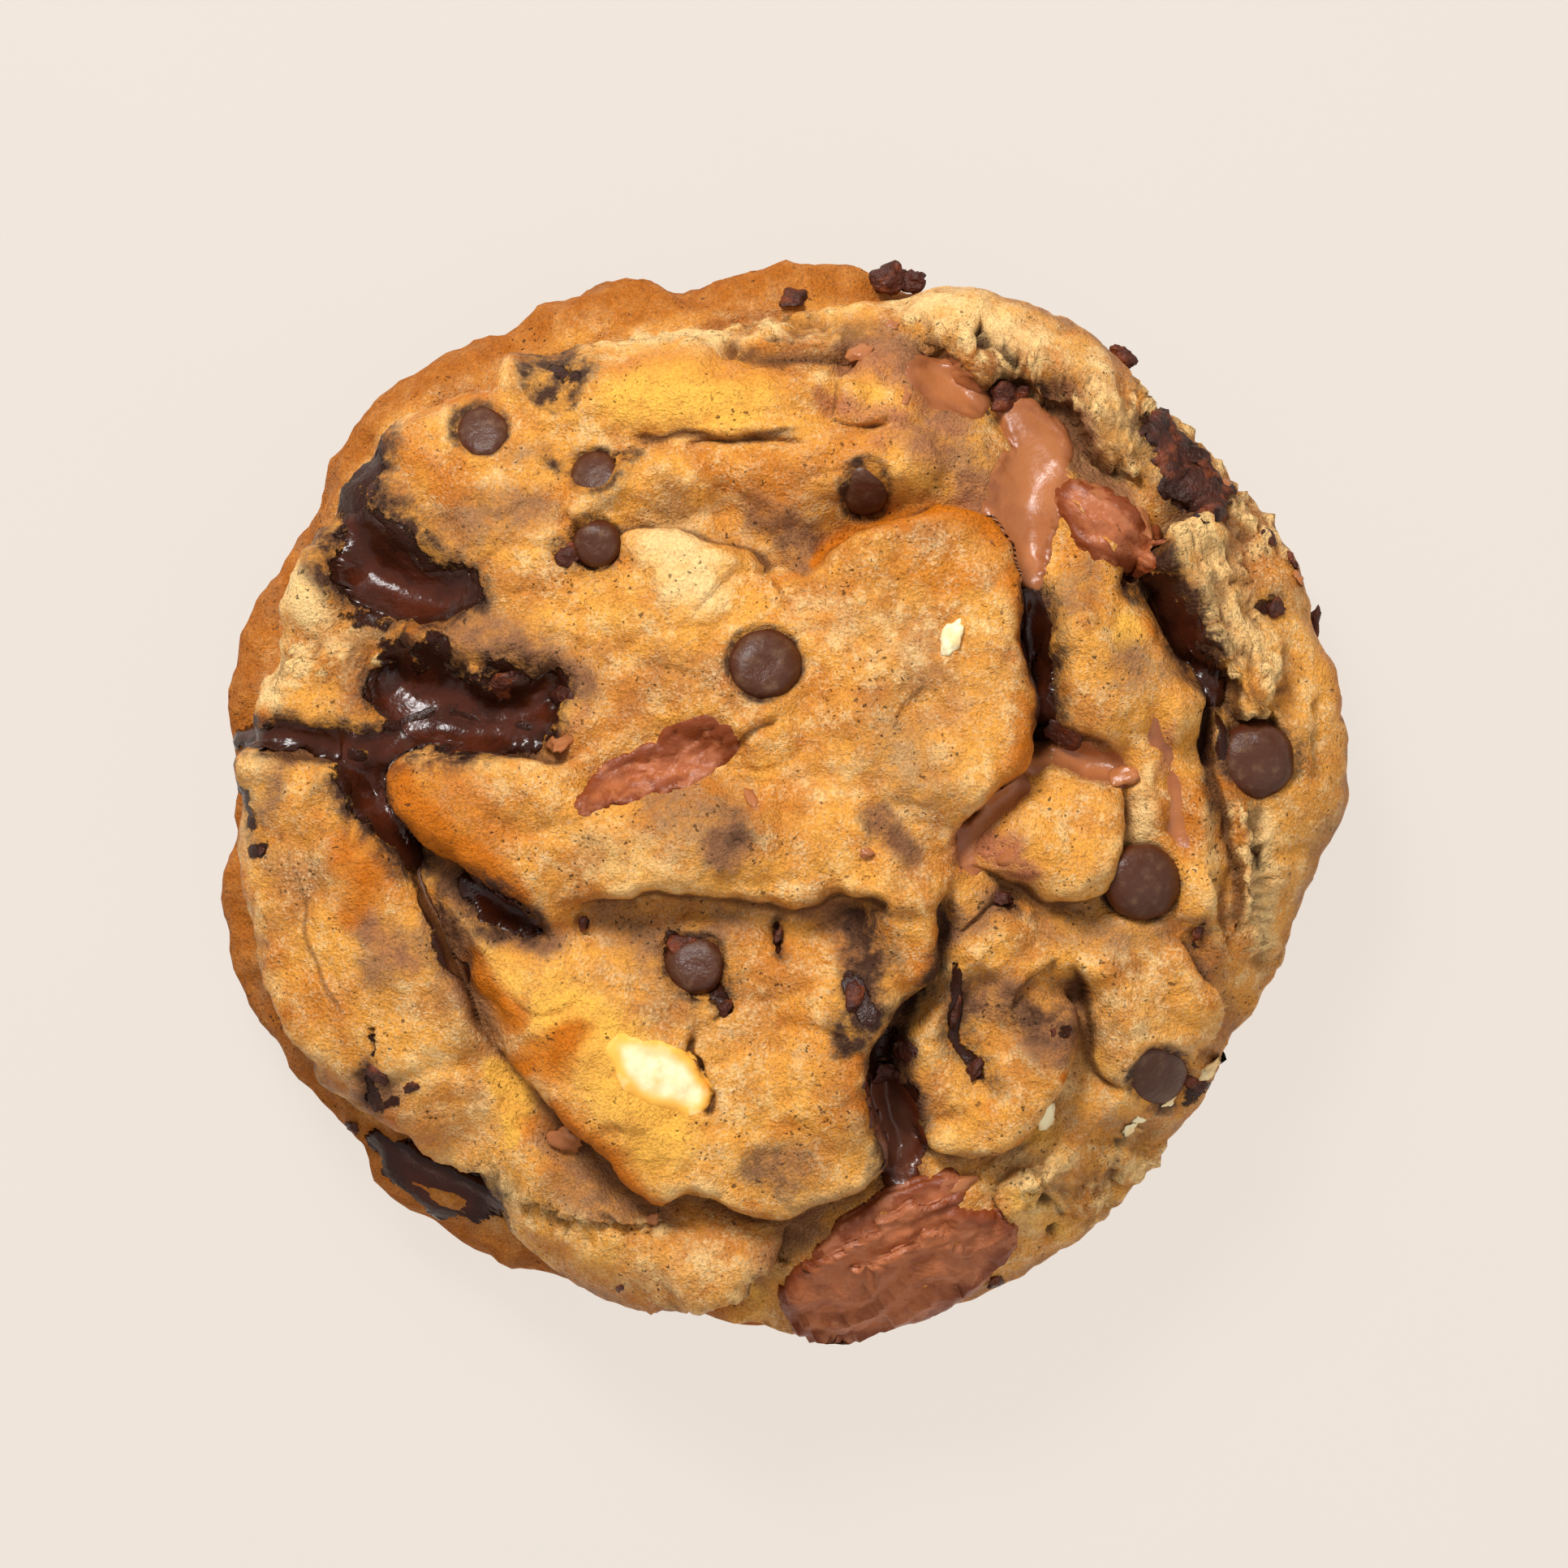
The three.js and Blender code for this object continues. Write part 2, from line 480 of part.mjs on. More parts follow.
function doughGeometry() {
  const ball = new THREE.IcosahedronGeometry(1, FACET_STEPS);
  ball.deleteAttribute("normal");
  ball.deleteAttribute("uv");
  const geometry = mergeVertices(ball, SAME_PLACE);
  const spots = geometry.attributes.position;
  const direction = new THREE.Vector3();
  for (let i = 0; i < spots.count; i++) {
    const point = doughPoint(direction.fromBufferAttribute(spots, i).normalize());
    spots.setXYZ(i, point.x, point.y, point.z);
  }
  return geometry;
}

// A ball drawn out along a line of [x, y, z, half width] points, with round ends.
const BALL = { around: 8, along: 7 };
const END_SHARE = 0.25; // share of the ball's facets in each round end
function drawnBall(line, flatness) {
  const geometry = new THREE.SphereGeometry(1, BALL.around, BALL.along);
  const spots = geometry.attributes.position;
  const curve = new THREE.CatmullRomCurve3(line.map(([x, y, z]) => new THREE.Vector3(x, y, z)));
  const widths = new THREE.SplineCurve(line.map(([, , , width], i) => new THREE.Vector2(i, width)));
  for (let i = 0; i < spots.count; i++) {
    const share = Math.acos(THREE.MathUtils.clamp(spots.getY(i), -1, 1)) / Math.PI;
    const turn = Math.atan2(spots.getZ(i), spots.getX(i));
    const along = THREE.MathUtils.clamp((share - END_SHARE) / (1 - 2 * END_SHARE), 0, 1);
    const endTurn = (Math.min(share, 1 - share, END_SHARE) / END_SHARE) * (Math.PI / 2);
    const width = widths.getPoint(along).y;
    const ahead = curve.getTangent(along);
    const side = new THREE.Vector3(0, 0, 1).cross(ahead).normalize();
    const up = new THREE.Vector3().crossVectors(ahead, side);
    const reach = width * Math.cos(endTurn) * Math.sign(share - 0.5);
    const spread = width * Math.sin(endTurn);
    const point = curve.getPoint(along)
      .addScaledVector(ahead, reach)
      .addScaledVector(side, spread * Math.cos(turn))
      .addScaledVector(up, spread * flatness * Math.sin(turn));
    throwOutOfTrue(point, RAGGED.share * width, RAGGED.length);
    spots.setXYZ(i, point.x, point.y, point.z);
  }
  return geometry;
}

// A drop of chocolate whose tip softened in the oven, standing on its broad side.
const DROP_SIDE = [[0, -0.6], [0.8, -0.45], [1, 0], [0.64, 0.5], [0, 0.7]];
const DROP_STEPS = 10;
function dropGeometry(radius) {
  const profile = DROP_SIDE.map(([share, height]) => new THREE.Vector2(share * radius, height * radius));
  return new THREE.LatheGeometry(profile, DROP_STEPS).rotateX(Math.PI / 2);
}

// A closed geometry as a solid that can be joined and cut.
function solidOf(geometry) {
  const bare = geometry.clone();
  bare.deleteAttribute("normal");
  bare.deleteAttribute("uv");
  const merged = mergeVertices(bare, SAME_PLACE);
  return new wasm.Manifold(new wasm.Mesh({
    numProp: 3,
    vertProperties: merged.attributes.position.array,
    triVerts: Uint32Array.from(merged.index.array),
  }));
}

function geometryOf(solid) {
  const { vertProperties, triVerts } = solid.getMesh();
  const geometry = new THREE.BufferGeometry();
  geometry.setAttribute("position", new THREE.BufferAttribute(vertProperties, 3));
  geometry.setIndex(new THREE.BufferAttribute(triVerts, 1));
  geometry.computeVertexNormals();
  return geometry;
}

function materialOf(kind) {
  return new THREE.MeshStandardMaterial(FINISHES[kind]);
}

const heap = new THREE.Mesh(doughGeometry(), materialOf("dough"));
const looker = new THREE.Raycaster();

// The dough's height at a place, seen from above.
function surfaceHeight(x, y) {
  looker.set(new THREE.Vector3(x, y, OVERHEAD), new THREE.Vector3(0, 0, -1));
  return looker.intersectObject(heap)[0].point.z;
}

// A drop as a mesh that leans with the dough, and the solid of its socket.
function setDrop({ name, at: [x, y], radius, sunk }) {
  const slopeX = (surfaceHeight(x + radius, y) - surfaceHeight(x - radius, y)) / (2 * radius);
  const slopeY = (surfaceHeight(x, y + radius) - surfaceHeight(x, y - radius)) / (2 * radius);
  const normal = new THREE.Vector3(-slopeX, -slopeY, 1).normalize();
  const drop = new THREE.Mesh(dropGeometry(radius), materialOf("dark"));
  drop.name = name;
  drop.position.set(x, y, surfaceHeight(x, y) - sunk);
  drop.quaternion.setFromUnitVectors(new THREE.Vector3(0, 0, 1), normal);
  drop.updateMatrixWorld();
  const socket = solidOf(dropGeometry(radius + SOCKET_GAP).applyMatrix4(drop.matrixWorld));
  return { mesh: drop, socket };
}

// A pool or chunk as a mesh, cut clear of the sockets already there, and the solid of its own socket.
function setPool({ name, kind, line, proud, flatness }, taken) {
  const pour = (gap) => solidOf(drawnBall(line.map(([x, y, width]) => {
    return [x, y, surfaceHeight(x, y) + proud - width * flatness, width + gap];
  }), flatness));
  const body = taken.reduce((rest, socket) => rest.subtract(socket), pour(0));
  const mesh = new THREE.Mesh(geometryOf(body), materialOf(kind));
  mesh.name = name;
  return { mesh, socket: pour(SOCKET_GAP / Math.min(flatness, 1)) };
}

const cookie = new THREE.Group();
cookie.name = "cookie";
const sockets = [];
for (const drop of DROPS) {
  const { mesh, socket } = setDrop(drop);
  sockets.push(socket);
  cookie.add(mesh);
}
for (const pool of POOLS) {
  const { mesh, socket } = setPool(pool, sockets);
  sockets.push(socket);
  cookie.add(mesh);
}

const cutHeap = sockets.reduce((rest, socket) => rest.subtract(socket), solidOf(heap.geometry));
const dough = new THREE.Mesh(geometryOf(cutHeap), materialOf("dough"));
dough.name = "dough";
cookie.add(dough);

export default cookie;
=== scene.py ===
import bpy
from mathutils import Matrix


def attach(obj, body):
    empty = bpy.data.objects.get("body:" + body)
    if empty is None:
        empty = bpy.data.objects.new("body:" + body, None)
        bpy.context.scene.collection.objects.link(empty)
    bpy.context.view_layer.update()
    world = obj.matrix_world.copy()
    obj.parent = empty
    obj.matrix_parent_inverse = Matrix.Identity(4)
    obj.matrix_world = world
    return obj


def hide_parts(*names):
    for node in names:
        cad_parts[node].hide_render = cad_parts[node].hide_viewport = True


bl_info = {
    "name": "Chocolate Chip Cookie",
    "version": (1, 0, 0),
    "blender": (4, 5, 0),
    "location": "View3D > Sidebar > Cookie",
    "description": "Makes a thick soft-baked cookie with drops, chunks and melted pools of chocolate",
    "category": "Add Mesh",
}

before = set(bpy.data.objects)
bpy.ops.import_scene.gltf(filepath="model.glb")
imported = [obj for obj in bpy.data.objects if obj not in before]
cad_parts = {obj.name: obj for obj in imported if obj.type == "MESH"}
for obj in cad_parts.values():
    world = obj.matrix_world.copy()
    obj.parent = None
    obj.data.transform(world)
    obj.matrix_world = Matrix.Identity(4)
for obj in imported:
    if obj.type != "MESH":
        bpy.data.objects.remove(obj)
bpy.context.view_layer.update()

import functools
import math

import bmesh
import bpy
import numpy as np
from bpy.props import FloatProperty, FloatVectorProperty, IntProperty, PointerProperty
from mathutils import Matrix, Vector, noise
from mathutils.bvhtree import BVHTree

# Lengths are in millimetres until a mesh is written. Seen from above, +X is to the right and +Y is
# away from the viewer, and the origin is under the middle of the cookie on the surface it rests on.
MM = 0.001
DOUGH = "soft_dough"

# The plain heap: a crown a little off the middle, and the radii of the mound and of its foot at
# equal steps round the cookie from +X.
CROWN = (3, -3)
CROWN_TOP = 30
CROWN_EDGE = 19.5
CROWN_REACH = 54
MOUND_RADII = [56.1, 57.3, 56.2, 55.6, 50, 50, 54, 54.5, 55.8, 56, 49, 53.8, 53.9, 54.4, 51.4, 52.4]
FOOT_RADII = [54.5, 55, 53.5, 54, 54, 54.2, 58.8, 57, 56.6, 58.2, 56.2, 53.6, 53.2, 51.5, 50, 50.5]
# The side, from the shoulder down: share of the foot in the radius, inset from it, and height.
SHOULDER_INSET = 6
SIDE = [
    (0, 1.6, 18.4), (0, 0, 14.6), (0.1, 0.8, 12.6), (0.85, 2, 11.6), (1, 0, 8), (1, 0.6, 4),
    (1, 2.4, 0.8),
]
REST_INSET = 5
# Shares of the ball that become the heap's top and the flat that it rests on, and the step in a share
# over which the slope of its side is read.
TOP_SHARE = 0.72
REST_SHARE = 0.04
SHARE_STEP = 0.004
# Heights between which the folds fade in, and those between which the browned foot fades out.
SIDE_FADE = (10.5, 15.5)
FOOT_FADE = (9, 15)

# Swells of the dough: a line of (x, y, half width) and the rise in its middle, less than 0 in a hollow.
SWELLS = [
    ([(13.5, 19, 13), (12, 8, 15)], 2.7),
    ([(-11, 19, 10), (-4, 8, 11)], 1.8),
    ([(-35, 1, 6), (-27, -1.8, 8.5), (-16, -4, 8.5), (-4, -3, 8)], 2.6),
    ([(-4, -3, 8), (7, -3.6, 9), (13, -9, 7)], 1.6),
    ([(-24, -20, 8), (-13, -29, 12), (0, -31, 12)], 2.6),
    ([(-20, -22, 5), (-12, -28, 6.5)], 1),
    ([(2, -19, 6.5), (8, -22, 6)], 1.2),
    ([(-9, -13.2, 3), (-4, -13.4, 3.2)], 1),
    ([(-39, 37, 6), (-31, 34, 8), (-27, 25, 7)], 1.6),
    ([(-49, 20, 4.5), (-45.8, 31, 4.8), (-38, 40, 4.8)], 2),
    ([(-40, 31.5, 3.2), (-39.4, 27.5, 3.4)], 1.8),
    ([(-37.5, 14.8, 3), (-36.6, 16.6, 3.4)], 2.2),
    ([(-31.5, 16.2, 4.4), (-27, 14.5, 4.2)], 1.8),
    ([(-21.4, 12.8, 3), (-21.8, 8.6, 3.4)], 1.2),
    ([(-27, 43.2, 4.5), (-18, 41.8, 7), (-6, 42.6, 6.6), (3, 42.6, 4.6)], 2.4),
    ([(-20.5, 29.4, 4), (-14, 33, 5.2), (-5, 35.2, 5.4), (6, 35, 5.8), (13, 34, 5)], 2.4),
    ([(7, 40.6, 4), (10.5, 39.6, 4.4)], 1.4),
    ([(9, 28.8, 4), (15, 32, 4.4)], 0.8),
    ([(30, 30, 5), (34, 26, 5.4)], 1),
    ([(30.4, 18, 5.6), (34.5, 13, 8), (39.5, 9.5, 5.5)], 2.6),
    ([(36.8, 4.4, 3), (37.2, -0.6, 3.2)], 1.6),
    ([(24, -2.4, 6.5), (28.4, -4.8, 7.5)], 2.4),
    ([(17, -15.6, 4.4), (22.6, -13.8, 5)], 1.2),
    ([(28, -13.4, 3.8), (29.4, -16, 3.4)], 1.2),
    ([(34.8, -16.5, 7), (38.4, -21.5, 8)], 2.2),
    ([(21, -30.6, 6.6), (26.6, -26.4, 5.6)], 2.4),
    ([(22.8, -20.4, 4), (25.6, -22.6, 4)], 1),
    ([(41.4, 1.6, 2.6), (42.6, -5.4, 3.2), (41.4, -11, 2.6)], 1.8),
    ([(-52.5, 2.5, 4.5), (-50.3, -1.5, 6), (-46.4, -12, 10), (-43, -24, 11), (-36, -33, 8)], 2.2),
    ([(-36, -32, 6), (-28.5, -38, 5.4), (-21, -41, 5)], 1.2),
    ([(-34.8, -9, 4), (-32.2, -13, 4.4), (-29, -16.4, 4.4)], 1),
    ([(-26, -41, 5), (-19, -44.5, 6.6), (-11, -47, 6.6), (-5, -45.5, 5)], 2),
    ([(-9, -52, 4), (-3, -52.5, 4.5)], -1.5),
    ([(26, -39.5, 6), (31, -41, 6), (36, -35.5, 5)], 1.4),
    ([(33, -31.5, 4.4), (38.4, -31.8, 4.6), (43, -28.5, 4)], 1),
    ([(-6.5, 30, 3), (-1.2, 25.6, 4.4), (4.5, 28, 3.6), (11, 30.2, 2.4)], -2.2),
    ([(-40, 11.5, 5), (-32, 10.2, 6.2), (-25, 11, 5)], -3),
    ([(-44.5, 28, 3.4), (-43, 24, 4), (-36, 20.6, 4.2)], -2.2),
    ([(-18, 1.6, 3.4), (-12.6, 4, 4.4), (-7, 5.2, 3.6), (-4.4, 1, 3)], -2),
    ([(-20, -11.8, 3.4), (-13, -12.6, 4), (-3, -13.4, 4.4), (6.6, -13.4, 4)], -1.8),
    ([(-11.5, -15, 3.6), (-8, -18, 3.6)], -1.8),
    ([(12.4, -20, 3.6), (10.6, -27, 3.8), (11.6, -36, 4)], -2.8),
    ([(19.6, -18.4, 2.6), (17.4, -24, 2.8), (19.4, -28.6, 2.6)], -1.4),
    ([(24, 18, 3), (25.8, 12, 3.4), (26, 6.4, 3)], -2.4),
    ([(22, 39, 3.6), (25, 33, 4.6), (24.4, 25.4, 4.2)], -1.6),
    ([(38.8, 21.4, 3), (42, 17.6, 3.4)], -2),
    ([(-26.6, -11.6, 3), (-31, -9.4, 3.4)], -1.6),
    ([(30, -19.6, 3.4), (27.4, -20.4, 3.4)], -1.2),
    ([(28.6, 4.2, 2.8), (35, 3.8, 2.6)], -1.4),
    ([(-31.6, 12.6, 2.2), (-30.6, 11.4, 2)], 2.4),
    ([(-27.6, 11.8, 2.6)], 2.2),
    ([(-40.8, 29.6, 2)], 1.6),
    ([(-36.6, 27, 2.4), (-34.4, 25.4, 2)], 1.4),
]

# Creases, with the higher dough on the left of the line as it runs: the line, how far the dough rises
# on that side and dips on the other, and how far off it is back at its own height.
CREASES = [
    ([(-19.3, 6.6), (-23, 3.9), (-30, 4.7), (-36.1, 5.4), (-39.6, 3.8), (-39.6, 0), (-36.1, -3.6),
     (-30.8, -8.1), (-26.4, -10.8), (-23.3, -14.8)], 2.6, 2.4, 11),
    ([(-21, -10.2), (-15.8, -9.2), (-8.6, -9), (-2.3, -10.2), (1.8, -10.8), (5.7, -9.3), (9.4, -11),
     (11, -13.4)], 1.5, 1.1, 11),
    ([(-31, -20.6), (-26.8, -28), (-19.2, -34.3), (-13, -39.5), (-9.6, -38.9), (-1, -41.3), (7, -38.8),
     (9.8, -36), (8.1, -29.3), (8.8, -24.4), (14.2, -16.8), (15.6, -11), (18, -6.6)], 2.8, 2.2, 11),
    ([(16.8, -8.6), (18.3, -1.4), (22.7, 2.3), (25, 9), (24.2, 16.5), (22.7, 23.4), (20.6, 28.2),
     (15.8, 29.4), (10.8, 28.2), (5.8, 25.9), (-0.6, 22.4)], 3, 2, 11),
    ([(-2, 22), (-2.9, 24.9), (-9.3, 27.2), (-15.1, 27.9), (-18, 25)], 1.2, 0.8, 11),
    ([(-16, 36.6), (-10, 37.1), (-5.8, 36.8), (2.5, 38.2)], 0.9, 0.5, 11),
    ([(13.4, 49.2), (16.5, 45.9), (20, 43), (24.7, 43.3), (29, 39.8), (32.4, 35.2), (36.6, 32.2)],
     2.6, 1.8, 8),
    ([(-6.6, 46.6), (-3, 44.6), (3.4, 44.6), (8, 46)], 1.8, 1.4, 5),
    ([(43.6, 31), (40.8, 28.7), (37.2, 24.9), (39.8, 21.1), (41.4, 18.4), (42.4, 15.6), (44.6, 12.6),
     (47.5, 8.8), (51, 8.6)], 3.6, 2.4, 9),
    ([(44.3, 11.7), (42.8, 4), (44.8, -2.7), (46.4, -10.2), (47, -14)], 1.2, 1.6, 4),
    ([(18.3, -6.8), (23.6, -7.8), (27.6, -10.2), (32.3, -8.9), (34.4, -3), (33.5, 3.6)], 2, 1.6, 8),
    ([(27.4, 21.6), (26.6, 14), (25.6, 9.2), (29, 7.3), (35.2, 4.6)], 1.6, 1.4, 7),
    ([(28.3, -15.2), (31.2, -21), (31, -26.2), (34.4, -29)], 1.8, 1.2, 7),
    ([(43.3, -24.8), (44, -20), (40, -13.5)], 1.2, 1, 6),
    ([(13, -31.6), (15, -35.6), (20, -36.2), (24.2, -33.1), (27.9, -27.5), (29.4, -22), (28, -18.6)],
     1.8, 1.4, 7),
    ([(-27, -29), (-33.4, -17.9), (-36.2, -12), (-39.3, -4.6), (-43.3, 1.5), (-45.4, 4.2)], 1.8, 1.6, 9),
    ([(-44.6, 4.2), (-50, 4.5), (-55, 6.4)], 1.4, 1.4, 6),
    ([(-11.5, -51.6), (-5.6, -49.6), (-1.1, -46.7), (0.4, -42.6)], 1.6, 1.6, 7),
]
FOLD_DEPTH = 1.12
# A spot nearer to a crease than this counts as this far off.
AT_LINE = 0.004
# Half width of a fold's rounded edge and of the dip beside it, and the share of a line that fades out.
SHOULDER = 2.4
DIP_REACH = 4.5
CREASE_FADE = 0.14
# Folds this high lean over by the whole roll, as far from the crease as this many rounded edges.
ROLL_HEIGHT = 5
LEAN_REACH = 2.5
# How far facets are drawn to a crease, from how far off, and the widths of the painted shade in the seam
# beside it.
GATHER = 0.4
GATHER_REACH = 3.5
SEAM_SHADE_LEFT = 0.3
SEAM_SHADE_RIGHT = 0.45
# How far noise moves the lines of the folds: its length, its size and its layer.
WANDER = [(7, 1.1, 80), (2.8, 0.5, 90)]
TORN_WANDER = (1.5, 0.8, 95)

# Torn edges, where the crust broke and the crumb shows: the line and how rough it is.
TORN = [
    ([(-17, 47, 3), (-6, 46.8, 3)], 0.7),
    ([(-5.5, 48.2, 3.5), (0.5, 48.6, 4), (8, 48.6, 3.5)], 0.9),
    ([(12.5, 49, 3), (22, 44.6, 4), (30, 40, 4.5), (37, 33.4, 4.5)], 0.9),
    ([(36.5, 41, 4), (44, 34.6, 5), (48.5, 28, 5)], 1.3),
    ([(40.8, 26.2, 4), (45, 23, 5), (46, 16, 5.5), (49, 10.6, 5)], 1.2),
    ([(46.8, -1.4, 3), (48.4, -8, 3.5), (48.8, -15.6, 3)], 1.1),
    ([(-51.5, 13.5, 5), (-44.5, 15, 6), (-40, 13, 4)], 0.9),
    ([(25, -38.5, 5.5), (31, -39.5, 5.5), (35.5, -34.5, 4.5)], 0.9),
    ([(-51.5, 26, 3), (-45.1, 36.6, 3), (-37.9, 43, 3), (-31.8, 45, 3), (-25.4, 46.7, 3),
      (-18.3, 47, 3)], 0.6),
    ([(-30, -37, 3), (-26, -40.4, 3), (-20, -42.6, 3), (-13, -43.4, 2.6)], 0.55),
    ([(-11.5, -50.6, 2.6), (-6, -49.4, 2.6), (-1.6, -46.8, 2.6)], 0.5),
]
# Torn dough and the foot are thrown up and down by crumbs about this level.
TORN_DEPTH = 1.6
CRUMB_LEVEL = 0.45
FOOT_TORN = 0.2
TORN_FULL = 1.3
# Crumb lumps below these levels take painted shade in the seams between them.
CRUMB_SEAM_SHADE = (0.05, 0.35)
CRUMB_TOPS = (0.2, 0.6)
# The crumbs: lumps of these lengths and sizes, and noise.
CRUMB_LUMPS = [(2.2, 0.8), (1.1, 0.4)]
CRUMB_NOISE = [(3, 0.6, 60)]
# The crust: noise in shares of the crumb size, noise in millimetres, and noise on the foot alone.
CRUST_FINE = [(1.3, 1, 30), (0.75, 0.6, 40)]
CRUST_COARSE = [(2.6, 0.36, 50)]
CRUST_FOOT = [(5.5, 0.95, 55)]
POOLED_CRUST = 0.6
# Lengths of the two sizes of swell, and the shallow furrows between them.
SWELL_LENGTH = 14
DIMPLE_LENGTH = 5
FURROW_STRETCH = (1, 1.4, 1)
FURROW_LENGTH = 7
FURROW_WIDTH = 0.2
FURROW_AREAS = 12
FURROW_SHARE = (-0.2, 0.3)
FURROW_LAYERS = (70, 75)
# Strength of the painted shade in the seams of the wrinkles and between torn crumbs.
FINE_SEAM_SHADE = 0.7
# Where the finished dough lies this far below or above its evened height, it counts as hollow or ridge; the
# hollows are given painted shade, the ridges toast and a pale painted highlight.
HOLLOW_DEPTH = (0, 2.2)
RIDGE_HEIGHT = (0.2, 1.6)

# Lumps low on the side: the line, the height it runs at, and the rise.
SIDE_LUMPS = [
    ([(-22, 49, 7), (-16, 52, 6)], 7, 2.8),
    ([(-3, 55, 6.5), (7, 54, 6)], 8, 1.6),
    ([(-40, 40, 7), (-31, 45, 6)], 7, 1),
    ([(-56, 9.5, 6.5), (-53.5, 18, 6)], 8.5, 2),
    ([(-57, -8, 6), (-54.6, -20, 7)], 7, 1.6),
    ([(-40, -40, 7), (-28, -46, 8)], 7, 1.2),
    ([(-6, -54, 6.5), (4, -53, 6)], 12, 1.6),
    ([(31, -42, 8), (39, -33, 7)], 11, 1),
    ([(47, -21, 8), (50.5, -10, 6)], 10, 0.9),
    ([(57, 12, 6), (56, 1, 8)], 16, 1.4),
    ([(51, 23, 8), (44, 35, 8)], 10, 0.9),
    ([(30, 46, 8), (18, 52, 7)], 11, 1),
]

# Drops: place, radius, and how deep the broad middle lies below the dough.
DROPS = {
    "drop_middle": (-2.1, 13.8, 3.8, 0.9),
    "drop_right": (36, -8.1, 3.9, 0.4),
    "drop_far_right": (47.8, 4.2, 4, 0.4),
    "drop_lower_right": (37.6, -27.8, 3.3, 0.8),
    "drop_upper_left": (-30.9, 37.6, 2.9, 0.9),
    "drop_top_left": (-23, 42.6, 3.4, 1.4),
    "drop_left_crease": (-19.3, 33.1, 2.6, 1),
    "drop_left_hollow": (-19.1, 26.1, 2.5, 0.5),
    "drop_top_crease": (8, 31.6, 2.6, 1),
    "drop_lower_middle": (-9.2, -16.4, 3.2, 1.3),
}
# The seat of a drop: its depth, and in shares of the drop's radius its reach and the middle and half
# width of the rim pushed up round it.
SEAT = 1.3
SEAT_REACH = 1.12
SEAT_RIM = 1.2
SEAT_RIM_WIDTH = 0.35
SEAT_RIM_HEIGHT = 0.35
# A drop's section from the middle of its top to that of its underside, in shares of its radius.
DROP_PROFILE = [(0, 0.56), (0.5, 0.53), (0.82, 0.36), (1, 0), (0.85, -0.4), (0, -0.55)]
DROP_SEGMENTS = 40
DROP_RINGS = 24
DROP_CROWN = (0.1, 0.5)
# How uneven a drop is, in shares of its radius, the noise's length, and its layer along each axis.
DROP_UNEVEN = 0.05
DROP_UNEVEN_LENGTH = 2.4
DROP_LAYERS = (3, 23, 43)
# The slope under a drop is read this many radii off its middle.
DROP_RING = 1.4

# Finer folds than the heap's own, laid out like the creases.
WRINKLES = [
    ([(1.5, 23.8), (-1, 24.3), (-2.5, 24), (-2.2, 22.3)], 1.0, 0.8, 3),
    ([(-5.4, 5.2), (-3.3, 7.5), (-0.7, 8.3)], 0.6, 0.6, 3),
    ([(14.7, 12.5), (11.5, 9.7), (10.2, 6.9)], -0.8, 0.6, 4),
    ([(-20.9, -9.7), (-17.5, -9.2), (-14.2, -9.3)], 0.7, 0.6, 3),
    ([(-8.5, -26), (-7.5, -29.3)], 0.5, 0.5, 2),
    ([(-22.5, 29), (-21.2, 27.2), (-18.8, 23.3), (-16.2, 27.3)], 0.6, 0.5, 3),
    ([(-10.8, 35.7), (-7.5, 36.8), (-2.5, 37.3), (2.5, 36.3)], 0.7, 0.5, 4),
    ([(9.6, 45.7), (6.2, 43.2), (4.5, 39.8), (6.7, 38.3), (10.8, 38.3)], 0.8, 0.6, 3),
    ([(20.2, 49), (21.2, 46.9), (22.9, 44.8)], 0.8, 0.8, 2.5),
    ([(25.4, 45.7), (27.5, 43.2), (28.3, 40.7)], 0.7, 0.7, 3),
    ([(30, 43.2), (32.5, 40.7), (33.8, 37.3)], 0.7, 0.7, 3),
    ([(45.8, -16), (44.2, -11.8), (42.3, -6)], 0.9, 0.8, 3),
    ([(49.2, -15.2), (47.9, -10.2), (47.5, -4.3), (46.7, 0.2)], 0.8, 0.8, 3),
    ([(52.5, 2.3), (53, 7.3), (54.3, 11.5)], 0.7, 0.6, 3),
    ([(-51.7, -1.8), (-49.2, -7.7), (-47.5, -16), (-43.3, -22.7)], -0.6, 0.3, 5),
    ([(-53.3, -13.5), (-51.7, -20.2), (-45.8, -26.8)], 0.8, 0.7, 3),
    ([(-49.2, -27.9), (-44.2, -29.8), (-37.5, -32), (-34.2, -36), (-27.5, -38.5)], 1.2, 1.0, 4),
    ([(-27.5, -39.3), (-22.5, -41.4), (-15.8, -42.7), (-10, -42.7)], 0.7, 0.7, 3),
    ([(-14.2, -51.8), (-9.2, -51), (-3.3, -48.9), (-0.8, -46)], 1.0, 0.9, 3),
    ([(33.2, -34.7), (33.5, -37.7), (31.7, -41)], 0.7, 0.7, 2.5),
    ([(27.5, -37.7), (23.3, -37.7), (21.2, -40.2), (22.9, -42.7)], 0.7, 0.6, 3),
    ([(17.5, -13.5), (19.6, -11), (22.5, -9.3)], 0.7, 0.6, 3),
    ([(22.5, -20.6), (25.4, -17.7), (27.9, -15.6)], 0.7, 0.6, 3),
    ([(-9.2, 48.6), (-5.8, 49.8), (-0.8, 50.2), (5.8, 49)], 0.8, 0.7, 3),
    ([(-8.7, 54.8), (-8.8, 53), (-5.8, 51.3)], 0.9, 0.9, 3),
    ([(-17.5, 51.3), (-14.2, 49.7), (-10, 49.2)], 0.6, 0.6, 3),
]
WRINKLE_SHOULDER = 1.1
WRINKLE_DIP = 2

